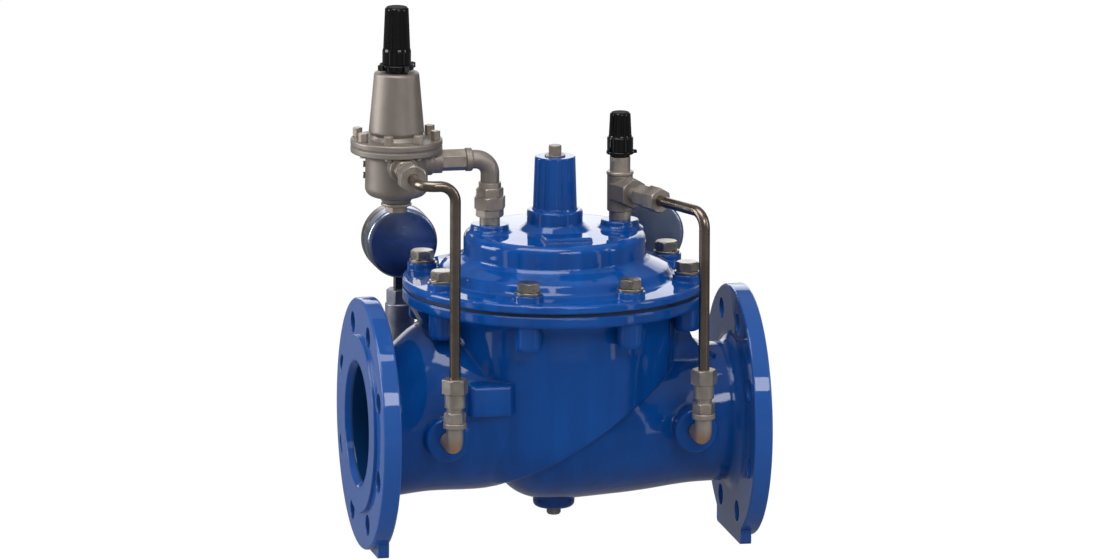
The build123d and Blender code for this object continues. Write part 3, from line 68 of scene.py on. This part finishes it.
camera_data = bpy.data.cameras.new("camera")
camera_data.lens = lens
camera_data.sensor_width = sensor_width
camera_data.clip_start = 1.0
camera_data.clip_end = 60.0
camera = bpy.data.objects.new("camera", camera_data)
bpy.context.scene.collection.objects.link(camera)
bpy.context.scene.camera = camera
distance = frame_width * lens / sensor_width
back = Vector((math.sin(azimuth) * math.cos(elevation), -math.cos(azimuth) * math.cos(elevation),
               math.sin(elevation)))
turn = (-back).to_track_quat("-Z", "Y").to_matrix() @ Matrix.Rotation(roll, 3, "Z")
aim = flange_centre + turn @ Vector((aim_right, aim_up, 0))
camera.matrix_world = Matrix.Translation(aim + back * distance) @ turn.to_4x4()
bpy.context.scene.view_settings.view_transform = "Standard"

# ---- room ----
# A white surround with a dim room on the camera's side, so that gloss on the paint stays deep there and
# turns white only where a surface faces the bright wall behind the valve or the pale ceiling.
wall_edge = (0.86, 0.97)
wall_foot = (-0.4, -0.1)
wall_strength = 1.25
ceiling_edge = (0.45, 0.85)
ceiling_strength = 0.29
room_strength = 0.13
room_rise = 0.05
room_edge = (0.0, 0.2)
fill_strength = 0.42


def node(tree, kind, inputs=None, **settings):
    """One shader node with its settings, and its inputs as values or as links from other sockets."""
    made = tree.nodes.new("ShaderNode" + kind)
    for name, value in settings.items():
        setattr(made, name, value)
    for name, value in (inputs or {}).items():
        if isinstance(value, bpy.types.NodeSocket):
            tree.links.new(value, made.inputs[name])
        else:
            made.inputs[name].default_value = value
    return made


def math_node(tree, operation, *values):
    """Output of one Math node on its values or sockets."""
    return node(tree, "Math", dict(enumerate(values)), operation=operation).outputs[0]


def ramp(tree, value, low, high):
    """Smooth step of a value from 0 at low to 1 at high."""
    return node(tree, "MapRange", {"Value": value, "From Min": low, "From Max": high},
                interpolation_type="SMOOTHSTEP").outputs["Result"]


world = bpy.data.worlds.new("studio")
bpy.context.scene.world = world
world.use_nodes = True
tree = world.node_tree
tree.nodes.clear()
light_path = node(tree, "LightPath").outputs
direction = node(tree, "TexCoord").outputs["Generated"]
towards_wall = Vector((-back.x, -back.y, 0)).normalized()
wall_side = node(tree, "VectorMath", {0: direction, 1: towards_wall},
                 operation="DOT_PRODUCT").outputs["Value"]
height = node(tree, "SeparateXYZ", {0: direction}).outputs["Z"]
wall = math_node(tree, "MULTIPLY", ramp(tree, wall_side, *wall_edge), ramp(tree, height, *wall_foot))
wall = math_node(tree, "MULTIPLY", wall, wall_strength)
ceiling = math_node(tree, "MULTIPLY", ramp(tree, height, *ceiling_edge), ceiling_strength)
dim = math_node(tree, "MULTIPLY_ADD", ramp(tree, height, *room_edge), room_rise, room_strength)
room = math_node(tree, "ADD", math_node(tree, "MAXIMUM", wall, ceiling), dim)
seen_directly = math_node(tree, "MAXIMUM", light_path["Is Camera Ray"], light_path["Is Transmission Ray"])
mirrored = node(tree, "Background", {"Color": (1, 1, 1, 1), "Strength": room}).outputs[0]
lit = node(tree, "Background", {"Color": (1, 1, 1, 1), "Strength": fill_strength}).outputs[0]
white = node(tree, "Background", {"Color": (1, 1, 1, 1), "Strength": 1.0}).outputs[0]
surround = node(tree, "MixShader", {0: light_path["Is Glossy Ray"], 1: lit, 2: mirrored}).outputs[0]
surround = node(tree, "MixShader", {0: seen_directly, 1: surround, 2: white}).outputs[0]
node(tree, "OutputWorld", {"Surface": surround})

# ---- floor ----
# A matt pale floor just under the feet. It shows white to the camera, gives a soft grey pool to what
# mirrors it, a little darker behind the valve, and isn't there from below.
floor_half = 8.0
floor_gap = 0.0003
floor_colour = (0.62, 0.62, 0.63, 1)
floor_share = 0.975
floor_strength = 1.02
pool_strength = 0.25
pool_dip = 0.05
dip_depth = (0.0, 0.3)
dip_side = (-0.2, 0.1)

floor_z = cad_box[0].z - floor_gap
floor_mesh = bpy.data.meshes.new("floor")
floor_mesh.from_pydata([(-floor_half, -floor_half, floor_z), (floor_half, -floor_half, floor_z),
                        (floor_half, floor_half, floor_z), (-floor_half, floor_half, floor_z)],
                       [], [(0, 1, 2, 3)])
floor = bpy.data.objects.new("floor", floor_mesh)
bpy.context.scene.collection.objects.link(floor)
floor_paint = bpy.data.materials.new("floor_paint")
floor_paint.use_nodes = True
tree = floor_paint.node_tree
tree.nodes.clear()
light_path = node(tree, "LightPath").outputs
place = node(tree, "SeparateXYZ", {0: node(tree, "NewGeometry").outputs["Position"]}).outputs
dip = math_node(tree, "MULTIPLY", ramp(tree, place["Y"], *dip_depth), ramp(tree, place["X"], *dip_side))
pool = math_node(tree, "MULTIPLY_ADD", dip, -pool_dip, pool_strength)
straight = math_node(tree, "MULTIPLY_ADD", light_path["Is Glossy Ray"], -floor_strength, floor_strength)
strength = math_node(tree, "MAXIMUM", pool, straight)
glow = node(tree, "Emission", {"Color": (1, 1, 1, 1), "Strength": strength}).outputs[0]
matt = node(tree, "BsdfDiffuse", {"Color": floor_colour}).outputs[0]
shown = math_node(tree, "MULTIPLY", light_path["Is Camera Ray"], floor_share)
shown = math_node(tree, "MAXIMUM", shown, light_path["Is Glossy Ray"])
shown = math_node(tree, "MAXIMUM", shown, light_path["Is Transmission Ray"])
surface = node(tree, "MixShader", {0: shown, 1: matt, 2: glow}).outputs[0]
underside = node(tree, "NewGeometry").outputs["Backfacing"]
below = node(tree, "BsdfTransparent").outputs[0]
surface = node(tree, "MixShader", {0: underside, 1: surface, 2: below}).outputs[0]
node(tree, "OutputMaterial", {"Surface": surface})
floor_mesh.materials.append(floor_paint)

# ---- lamps ----
# Five soft boxes round the valve, and four upright strips close in front of it, whose mirror images run
# down the barrel, the tubes and the flange rims.
valve_middle = (flange_centre.x, 0.0, 0.1)
strip_distance = 0.75
strip_z = 0.16
strip_length = 1.2


def soft_box(name, lamp_place, aim_point, width, length, watts):
    """Rectangular area lamp that faces a point and that only surfaces, not the camera, see."""
    data = bpy.data.lights.new(name, "AREA")
    data.shape = "RECTANGLE"
    data.size = width
    data.size_y = length
    data.energy = watts
    lamp = bpy.data.objects.new(name, data)
    bpy.context.scene.collection.objects.link(lamp)
    lamp.location = lamp_place
    lamp.rotation_mode = "QUATERNION"
    lamp.rotation_quaternion = (Vector(aim_point) - Vector(lamp_place)).to_track_quat("-Z", "Y")
    lamp.visible_camera = False


for name, lamp_place, width, length, watts in (("top_box", (-0.3, -0.5, 2.0), 1.5, 1.1, 30),
                                               ("left_box", (-1.9, 0.5, 0.7), 1.0, 1.2, 36),
                                               ("right_box", (2.0, -0.9, 0.8), 0.4, 1.2, 8),
                                               ("front_box", (0.5, -2.0, 1.3), 1.0, 0.5, 15),
                                               ("rear_box", (0.9, 2.4, 0.85), 2.4, 0.9, 7)):
    soft_box(name, lamp_place, valve_middle, width, length, watts)
for name, side, width, watts in (("strip_left", -62, 0.08, 0.384), ("strip_middle", -27, 0.26, 0.168),
                                 ("strip_right", 14, 0.45, 0.216), ("strip_far_right", 55, 0.06, 0.288)):
    way = azimuth + math.radians(side)
    lamp_place = (flange_centre.x + strip_distance * math.sin(way), -strip_distance * math.cos(way), strip_z)
    soft_box(name, lamp_place, (flange_centre.x, 0.0, strip_z), width, strip_length, watts)

# ---- body casting ----
# Ductile iron, shot blasted and dipped in fusion-bonded epoxy. The coating runs thick into every fillet,
# is very glossy, and has a faint orange peel and a few cloudy areas, with upright bands of painted
# reflection in its colour. The machined flanges have crisp corners and a paler colour that is painted
# light, and the bore is painted dark and even as painted shade.
casting_round = 0.004
flange_round = 0.0012
flange_edge = (0.026, 0.020)
bore_radius = 0.052
# Painted shade: inside this radius the bore is tinted dark.
bore_shade_edge = (0.0012, 0.0003)
bore_shade_colour = (0.0028, 0.0265, 0.094)
# Painted light: the flanges outside the bore take a paler tint for the light their rims and faces catch.
flange_light_edge = (0.002, 0.008)
flange_light_share = 0.8
flange_light_colour = (0.017, 0.074, 0.275)


def node_group(name, numbers, outputs):
    """Empty shader node group with its number inputs and its outputs."""
    group = bpy.data.node_groups.new(name, "ShaderNodeTree")
    for label, value in numbers.items():
        group.interface.new_socket(label, in_out="INPUT", socket_type="NodeSocketFloat").default_value = value
    for label in outputs:
        group.interface.new_socket(label, in_out="OUTPUT", socket_type="NodeSocketFloat")
    return group


cloud_edge = (0.3, 0.7)
ripples_per_cloud = 7.0
# Stretch and edge of the upright streaks that are painted into the colour as painted reflection.
reflection_streak_stretch = (1.0, 1.0, 0.03)
reflection_streak_edge = (0.36, 0.64)
cast_grain = node_group("cast_grain", {"Cloud Scale": 20.0, "Grain Scale": 900.0},
                        ["Cloud", "Grain", "Ripple", "Reflection Streak"])
on_piece = node(cast_grain, "TexCoord").outputs["Object"]
group_in = cast_grain.nodes.new("NodeGroupInput").outputs
group_out = cast_grain.nodes.new("NodeGroupOutput")
cloud = node(cast_grain, "TexNoise", {"Vector": on_piece, "Scale": group_in["Cloud Scale"], "Detail": 3.0,
                                      "Roughness": 0.55}).outputs["Fac"]
grain = node(cast_grain, "TexNoise", {"Vector": on_piece, "Scale": group_in["Grain Scale"], "Detail": 4.0,
                                      "Roughness": 0.6}).outputs["Fac"]
ripple_scale = math_node(cast_grain, "MULTIPLY", group_in["Cloud Scale"], ripples_per_cloud)
ripple = node(cast_grain, "TexNoise", {"Vector": on_piece, "Scale": ripple_scale,
                                       "Detail": 1.0}).outputs["Fac"]
# Upright streaks, stretched along Z, which the materials mix into their colour as painted reflections.
upright = node(cast_grain, "VectorMath", {0: on_piece, 1: reflection_streak_stretch}, operation="MULTIPLY").outputs[0]
reflection_streak = node(cast_grain, "TexNoise", {"Vector": upright, "Scale": ripple_scale,
                                       "Detail": 3.0}).outputs["Fac"]
cast_grain.links.new(ramp(cast_grain, cloud, *cloud_edge), group_out.inputs["Cloud"])
cast_grain.links.new(grain, group_out.inputs["Grain"])
cast_grain.links.new(ripple, group_out.inputs["Ripple"])
cast_grain.links.new(ramp(cast_grain, reflection_streak, *reflection_streak_edge), group_out.inputs["Reflection Streak"])


def mix_values(tree, share, first, second):
    """A value that goes from the first to the second as share goes from 0 to 1."""
    return node(tree, "Mix", {0: share, 2: first, 3: second}).outputs[0]


def mix_colours(tree, share, first, second):
    """A colour that goes from the first to the second as share goes from 0 to 1."""
    return node(tree, "Mix", {0: share, 6: first, 7: second}, data_type="RGBA").outputs[2]


def finish(name, light, dark, rough, grain_scale=900.0, grain_depth=0.00002, cloud_scale=20.0, edge=0.0,
           ripple=0.0, reflection_streak=0.0, **uniform):
    """Principled material whose colour and roughness drift between two values with the cloud mask,
    with grain as a bump; the streak share blends upright light and dark bands into the colour as painted
    reflection; edge rounds the corners to that radius and ripple adds a long soft wave."""
    material = bpy.data.materials.new(name)
    material.use_nodes = True
    tree = material.node_tree
    shader = tree.nodes["Principled BSDF"]
    for label, value in uniform.items():
        shader.inputs[label.replace("_", " ").title().replace("Ior", "IOR")].default_value = value
    texture = node(tree, "Group", {"Cloud Scale": cloud_scale, "Grain Scale": grain_scale},
                   node_tree=cast_grain).outputs
    # Painted reflection: the streak share moves the colour towards upright light and dark bands.
    drift = mix_values(tree, reflection_streak, texture["Cloud"], texture["Reflection Streak"])
    tree.links.new(mix_colours(tree, drift, (*dark, 1), (*light, 1)), shader.inputs["Base Color"])
    roughness = node(tree, "MapRange", {"Value": texture["Cloud"], "To Min": rough[0], "To Max": rough[1]})
    tree.links.new(roughness.outputs["Result"], shader.inputs["Roughness"])
    bump = node(tree, "Bump", {"Height": texture["Grain"], "Distance": grain_depth, "Strength": 1.0})
    if edge:
        tree.links.new(node(tree, "Bevel", {"Radius": edge}, samples=6).outputs[0], bump.inputs["Normal"])
    if ripple:
        bump = node(tree, "Bump", {"Height": texture["Ripple"], "Normal": bump.outputs[0],
                                   "Distance": ripple, "Strength": 1.0})
    tree.links.new(bump.outputs[0], shader.inputs["Normal"])
    return material


def dress(material, *names):
    """The CAD nodes take this material in all their slots."""
    for name in names:
        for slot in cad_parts[name].material_slots:
            slot.material = material


def on_object(material):
    """X, Y and Z of a point on the piece that has this material."""
    tree = material.node_tree
    return node(tree, "SeparateXYZ", {0: node(tree, "TexCoord").outputs["Object"]}).outputs


def tint(material, share, colour):
    """Lays a second base colour over the material's own, where share goes from 0 to 1."""
    tree = material.node_tree
    base = tree.nodes["Principled BSDF"].inputs["Base Color"]
    tree.links.new(mix_colours(tree, share, base.links[0].from_socket, (*colour, 1)), base)


def round_corners(material, share, radius, other_radius):
    """Rounds the shaded corners to one radius, and to the other where share is 1."""
    tree = material.node_tree
    tree.links.new(mix_values(tree, share, radius, other_radius), tree.nodes["Bevel"].inputs["Radius"])


body_epoxy = finish("body_epoxy", light=(0.0022, 0.052, 0.240), dark=(0.0013, 0.035, 0.165),
                    rough=(0.02, 0.035), grain_scale=300.0, grain_depth=0.00001, cloud_scale=9.0,
                    edge=casting_round, ripple=0.00012, reflection_streak=0.35, ior=1.42)
dress(body_epoxy, "body")
tree = body_epoxy.node_tree
spot = on_object(body_epoxy)
from_middle = math_node(tree, "ABSOLUTE", math_node(tree, "SUBTRACT", spot["X"], flange_centre.x))
across = node(tree, "CombineXYZ", {"Y": spot["Y"], "Z": spot["Z"]}).outputs[0]
from_axis = node(tree, "VectorMath", {0: across}, operation="LENGTH").outputs["Value"]
machined = ramp(tree, from_middle, half_length - flange_edge[0], half_length - flange_edge[1])
outside_bore = ramp(tree, from_axis, bore_radius + flange_light_edge[0], bore_radius + flange_light_edge[1])
# Painted light on the flanges, outside the bore.
flange_painted_light = math_node(tree, "MULTIPLY", machined, math_node(tree, "MULTIPLY", outside_bore, flange_light_share))
# Painted shade: the inside of the bore is tinted dark.
bore_shade = ramp(tree, from_axis, bore_radius + bore_shade_edge[0], bore_radius + bore_shade_edge[1])
round_corners(body_epoxy, machined, casting_round, flange_round)
tint(body_epoxy, flange_painted_light, flange_light_colour)
tint(body_epoxy, bore_shade, bore_shade_colour)

# ---- cover casting ----
# The same ductile iron and epoxy as the body, bolted on over the diaphragm. Its colour is a shade lighter
# as painted light, for the stronger light from above, and carries stronger upright bands of painted
# reflection. The dome's steps are soft, and the flutes of the tower on top stay crisp.
dome_round = 0.0025
flute_round = 0.0005
tower_foot = (0.181, 0.185)
# Painted light: a lighter copy of the body's epoxy colour.
cover_epoxy = finish("cover_epoxy", light=(0.0026, 0.062, 0.275), dark=(0.0017, 0.043, 0.200),
                     rough=(0.02, 0.035), grain_scale=300.0, grain_depth=0.00001, cloud_scale=9.0,
                     edge=dome_round, ripple=0.0001, reflection_streak=0.6, ior=1.42)
dress(cover_epoxy, "cover")
fluted = ramp(cover_epoxy.node_tree, on_object(cover_epoxy)["Z"], *tower_foot)
round_corners(cover_epoxy, fluted, dome_round, flute_round)

# ---- cover bolts ----
# Forged hexagon bolts, each on a flat washer, that clamp the cover to the body. They are steel, hot-dip
# galvanised, and have dulled to a brownish grey.
bolt_steel = finish("bolt_steel", light=(0.335, 0.305, 0.27), dark=(0.235, 0.21, 0.182), rough=(0.26, 0.36),
                    grain_scale=500.0, grain_depth=0.000003, cloud_scale=120.0, edge=0.0005, metallic=1.0)
dress(bolt_steel, "cover_bolts", "cover_washers")

# ---- main diaphragm and seal ring ----
# Fabric-reinforced rubber, moulded and vulcanised. The diaphragm's edge is clamped between body and
# cover, and the seal ring sits in the disc.
rubber = finish("rubber", light=(0.006, 0.012, 0.032), dark=(0.004, 0.008, 0.022), rough=(0.55, 0.7),
                grain_scale=1500.0, grain_depth=0.00004)
dress(rubber, "main_diaphragm", "disc_seal")

# ---- pilot diaphragm ----
# A thin diaphragm in pale reinforced fabric, clamped between the pilot's body and its spring housing,
# where only its edge shows.
gasket = finish("gasket", light=(0.13, 0.12, 0.11), dark=(0.10, 0.09, 0.085), rough=(0.5, 0.6))
dress(gasket, "pilot_diaphragm")

# ---- pilot castings ----
# Investment-cast stainless steel, bead blasted to a matt warm grey: the pilot's body and spring housing,
# the needle valve's body, and the elbows that screw onto them.
cast_steel = finish("cast_steel", light=(0.262, 0.232, 0.208), dark=(0.212, 0.185, 0.164),
                    rough=(0.46, 0.54), grain_scale=1400.0, grain_depth=0.000025, cloud_scale=30.0,
                    edge=0.0012, metallic=0.7)
dress(cast_steel, "pilot_body", "pilot_spring_housing", "link_elbow", "needle_valve_body", "gauge_elbows")

# ---- port elbows ----
# Cast stainless elbows screwed into the front ports, lighter than the pilot, with a straw-brown tint low on
# the bend that is a painted warm reflection.
warm_reflection_colour = (0.44, 0.255, 0.145)
warm_reflection_edge = (0.018, 0.002)
elbow_steel = finish("elbow_steel", light=(0.340, 0.300, 0.270), dark=(0.275, 0.240, 0.212),
                     rough=(0.42, 0.50), grain_scale=1400.0, grain_depth=0.000025, cloud_scale=30.0,
                     edge=0.0012, metallic=0.7)
dress(elbow_steel, "port_elbows")
bend_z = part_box("port_elbows")[0].z
# Painted reflection: a warm brown tint near the bottom of the bend.
warm_reflection = ramp(elbow_steel.node_tree, on_object(elbow_steel)["Z"], bend_z + warm_reflection_edge[0],
              bend_z + warm_reflection_edge[1])
tint(elbow_steel, warm_reflection, warm_reflection_colour)

# ---- threaded fittings ----
# Stainless hexagons, nipples, unions and screws, turned from bar, screwed together and left bright but
# scuffed by the spanner.
turned_steel = finish("turned_steel", light=(0.42, 0.372, 0.325), dark=(0.31, 0.27, 0.235),
                      rough=(0.38, 0.48), grain_scale=2200.0, grain_depth=0.000008, cloud_scale=70.0,
                      edge=0.0006, metallic=0.85)
dress(turned_steel, "pilot_flange_screws", "pilot_side_screws", "pilot_bottom_plug", "pilot_link_nipple",
      "link_union_tail", "link_union_nut", "link_boss_nipple", "needle_nipple", "needle_gland",
      "tube_connectors", "tube_ferrules")

# ---- tube nuts and square plugs ----
# Nuts that press the ferrules onto the tubes, and the square-headed plugs in the tower and the drain.
# They are stainless, turned from bar, and a little duller than the other fittings.
nut_steel = finish("nut_steel", light=(0.36, 0.322, 0.285), dark=(0.265, 0.234, 0.206), rough=(0.38, 0.48),
                   grain_scale=2200.0, grain_depth=0.000008, cloud_scale=70.0, edge=0.0006, metallic=0.85)
dress(nut_steel, "tube_nuts", "tower_plug", "drain_plug")

# ---- gauge adapters ----
# Thick stainless adapters, turned from bar, that carry the gauges on the rear elbows. They are darker than
# the fittings in front, and their bluish tone is a painted reflection of the blue castings.
# Painted reflection: the blue in these colours stands in for the castings the adapters mirror.
adapter_steel = finish("adapter_steel", light=(0.225, 0.232, 0.285), dark=(0.170, 0.174, 0.214),
                       rough=(0.36, 0.46), grain_scale=2200.0, grain_depth=0.000008, cloud_scale=70.0,
                       edge=0.0006, metallic=0.85)
dress(adapter_steel, "gauge_adapters")

# ---- control tubes ----
# Drawn stainless tubes, bent cold and held by a ferrule and a nut at each end. Their skin is smooth and
# darker than the fittings.
tube_steel = finish("tube_steel", light=(0.20, 0.165, 0.135), dark=(0.15, 0.122, 0.100), rough=(0.25, 0.31),
                    grain_scale=60.0, grain_depth=0.0000001, cloud_scale=40.0, metallic=1.0)
dress(tube_steel, "inlet_tube", "outlet_tube")

# ---- plastic caps ----
# Black moulded caps that push onto collars over the pilot's adjusting screw and the needle spindle.
# They are glossy all round and matt on top.
matt_top_edge = (0.8, 0.95)
matt_top_roughness = 0.75
black_plastic = finish("black_plastic", light=(0.0016, 0.0016, 0.0018), dark=(0.001, 0.001, 0.0012),
                       rough=(0.07, 0.1), grain_scale=300.0, grain_depth=0.0000001, cloud_scale=50.0,
                       ior=1.36)
dress(black_plastic, "pilot_cap", "pilot_cap_collar", "needle_cap", "needle_cap_collar")
tree = black_plastic.node_tree
facing_up = node(tree, "SeparateXYZ", {0: node(tree, "TexCoord").outputs["Normal"]}).outputs["Z"]
cap_roughness = tree.nodes["Principled BSDF"].inputs["Roughness"]
matt_top = mix_values(tree, ramp(tree, facing_up, *matt_top_edge), cap_roughness.links[0].from_socket,
                      matt_top_roughness)
tree.links.new(matt_top, cap_roughness)

# ---- gauge cases ----
# Deep-drawn stainless pans, smooth, with a bluish tone that is a painted reflection of the blue castings,
# each on a square shank of plain brownish steel that screws into its adapter.
shank_colour = (0.17, 0.15, 0.13)
shank_drop = (0.002, 0.004)
# Painted reflection: the cases' blue tone stands in for the blue castings they mirror.
gauge_steel = finish("gauge_steel", light=(0.235, 0.29, 0.41), dark=(0.192, 0.232, 0.336), rough=(0.22, 0.28),
                     grain_scale=300.0, grain_depth=0.0000005, cloud_scale=35.0, edge=0.0005, metallic=1.0)
dress(gauge_steel, "gauge_cases")
dial_low, dial_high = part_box("gauge_dials")
shank = ramp(gauge_steel.node_tree, on_object(gauge_steel)["Z"], dial_low.z - shank_drop[0],
             dial_low.z - shank_drop[1])
tint(gauge_steel, shank, shank_colour)

# ---- gauge rings ----
# Stainless bezel rings, rolled over the rim of each case to hold its window. They are darker and browner
# than the cases.
bezel_steel = finish("bezel_steel", light=(0.16, 0.145, 0.125), dark=(0.115, 0.105, 0.09), rough=(0.2, 0.26),
                     grain_scale=300.0, grain_depth=0.0000005, cloud_scale=35.0, edge=0.0005, metallic=1.0)
dress(bezel_steel, "gauge_bezel_rings")

# ---- gauge windows ----
# Flat discs of clear glass, cut and polished, with a trace of wiping on them. The rings press them onto
# the cases.
window = finish("window", light=(0.97, 0.98, 0.98), dark=(0.93, 0.95, 0.95), rough=(0.01, 0.04),
                grain_depth=0.000002, transmission_weight=1.0, ior=1.5)
dress(window, "gauge_windows")

# ---- gauge dials and pointers ----
# Thin sheet dials, enamelled white, that face the rear. Each pointer is a black stamped strip pressed
# onto the spindle in the middle.
dial_white = finish("dial_white", light=(0.82, 0.82, 0.80), dark=(0.76, 0.76, 0.74), rough=(0.4, 0.5))
dress(dial_white, "gauge_dials")
pointer_black = finish("pointer_black", light=(0.012, 0.012, 0.012), dark=(0.008, 0.008, 0.008),
                       rough=(0.35, 0.45))
dress(pointer_black, "outlet_gauge_pointer", "inlet_gauge_pointer")

# ---- dial print ----
# Black ink scale on each white dial: 270 degrees of strokes and plain numbers, zero at the lower left as
# seen from the rear. The outlet dial counts to 10 and the inlet dial to 16.
gauge_setback = 0.065
print_lift = 0.00004
zero_angle = 225
dial_sweep = 270
stroke_outer = 0.0255
long_stroke_inner = 0.0215
long_stroke_half = 0.00035
short_stroke_inner = 0.0232
short_stroke_half = 0.00016
ring_inner = 0.0253
ring_outer = 0.0257
ring_pieces = 90
number_radius = 0.0182
number_size = 0.0062
print_black = finish("print_black", light=(0.014, 0.014, 0.015), dark=(0.009, 0.009, 0.010), rough=(0.4, 0.5))


def dial_points(centre, share, radius, aside=0.0):
    """Points on the dial at a share of the sweep: the angle is the zero's less that share, counted from
    the dial's right as seen from the rear, where world X runs to the left; aside is across the stroke."""
    angle = np.radians(zero_angle - dial_sweep * share)
    right = radius * np.cos(angle) + aside * np.sin(angle)
    up = radius * np.sin(angle) - aside * np.cos(angle)
    return np.stack((centre.x - right, np.full_like(right, centre.y), centre.z + up), axis=-1)


def number_mesh(value):
    """Corners and faces of one number, flat and centred, as the built-in font draws it."""
    text = bpy.data.curves.new("number", "FONT")
    text.body = str(value)
    text.size = number_size
    text.align_x = "CENTER"
    text.align_y = "CENTER"
    text.resolution_u = 4
    holder = bpy.data.objects.new("number", text)
    bpy.context.scene.collection.objects.link(holder)
    bpy.context.view_layer.update()
    flat = bpy.data.meshes.new_from_object(holder.evaluated_get(bpy.context.evaluated_depsgraph_get()))
    bpy.data.objects.remove(holder)
    corners = np.empty(len(flat.vertices) * 3, dtype=np.float32)
    flat.vertices.foreach_get("co", corners)
    faces = [np.array(face.vertices) for face in flat.polygons]
    bpy.data.meshes.remove(flat)
    return corners.reshape(-1, 3), faces


outer_corner = np.array([False, True, True, False])
late_corner = np.array([0, 0, 1, 1])
for name, dial_x, highest, step, ticks in (
        ("outlet_dial_print", body_low.x + gauge_setback, 10, 2, 10),
        ("inlet_dial_print", body_high.x - gauge_setback, 16, 4, 8)):
    centre = Vector((dial_x, dial_high.y + print_lift, (dial_low.z + dial_high.z) / 2))
    count = highest // step * ticks
    mark = np.arange(count + 1)[:, None]
    inner = np.where(mark % ticks == 0, long_stroke_inner, short_stroke_inner)
    half = np.where(mark % ticks == 0, long_stroke_half, short_stroke_half)
    strokes = dial_points(centre, mark / count, np.where(outer_corner, stroke_outer, inner),
                          half * (2 * late_corner - 1))
    arc = (np.arange(ring_pieces)[:, None] + late_corner) / ring_pieces
    ring = dial_points(centre, arc, np.where(outer_corner, ring_outer, ring_inner))
    points = np.concatenate((strokes.reshape(-1, 3), ring.reshape(-1, 3)))
    faces = np.arange(len(points)).reshape(-1, 4).tolist()
    for value in range(0, highest + 1, step):
        corners, number_faces = number_mesh(value)
        faces.extend((len(points) + face).tolist() for face in number_faces)
        turned = corners[:, [0, 2, 1]] * (-1, 0, 1)
        points = np.concatenate((points, dial_points(centre, value / highest, number_radius) + turned))
    mesh = bpy.data.meshes.new(name)
    mesh.from_pydata(points, [], faces)
    piece = bpy.data.objects.new(name, mesh)
    bpy.context.scene.collection.objects.link(piece)
    mesh.materials.append(print_black)
    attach(piece, "valve_body")

# ---- stainless trim ----
# The working parts inside: stem, disc, seat and diaphragm plates of the main valve, and the seats, stems,
# plates, screws and spindle of pilot and needle valve. All are turned from stainless bar and polished.
trim_steel = finish("trim_steel", light=(0.60, 0.58, 0.55), dark=(0.48, 0.46, 0.44), rough=(0.2, 0.32),
                    cloud_scale=60.0, metallic=1.0)
dress(trim_steel, "main_stem", "disc_guide", "disc_retainer", "guide_nut", "lower_diaphragm_plate",
      "upper_diaphragm_plate", "stem_nut", "seat_ring", "pilot_seat", "pilot_stem",
      "pilot_lower_spring_plate", "pilot_upper_spring_plate", "pilot_adjusting_screw", "pilot_lock_nut",
      "needle_plug", "needle_spindle")

# ---- springs ----
# Coils of hard-drawn steel wire. The main spring presses the disc onto its seat, and the pilot's spring
# sets the pressure at which the pilot closes.
spring_steel = finish("spring_steel", light=(0.33, 0.32, 0.31), dark=(0.22, 0.21, 0.20), rough=(0.3, 0.42),
                      metallic=1.0)
dress(spring_steel, "main_spring", "pilot_spring")

# ---- stem bush ----
# A bronze bush, turned from cast bar and pressed into the cover, in which the main stem slides.
bronze = finish("bronze", light=(0.50, 0.31, 0.13), dark=(0.38, 0.23, 0.09), rough=(0.28, 0.4), metallic=1.0)
dress(bronze, "stem_bush")
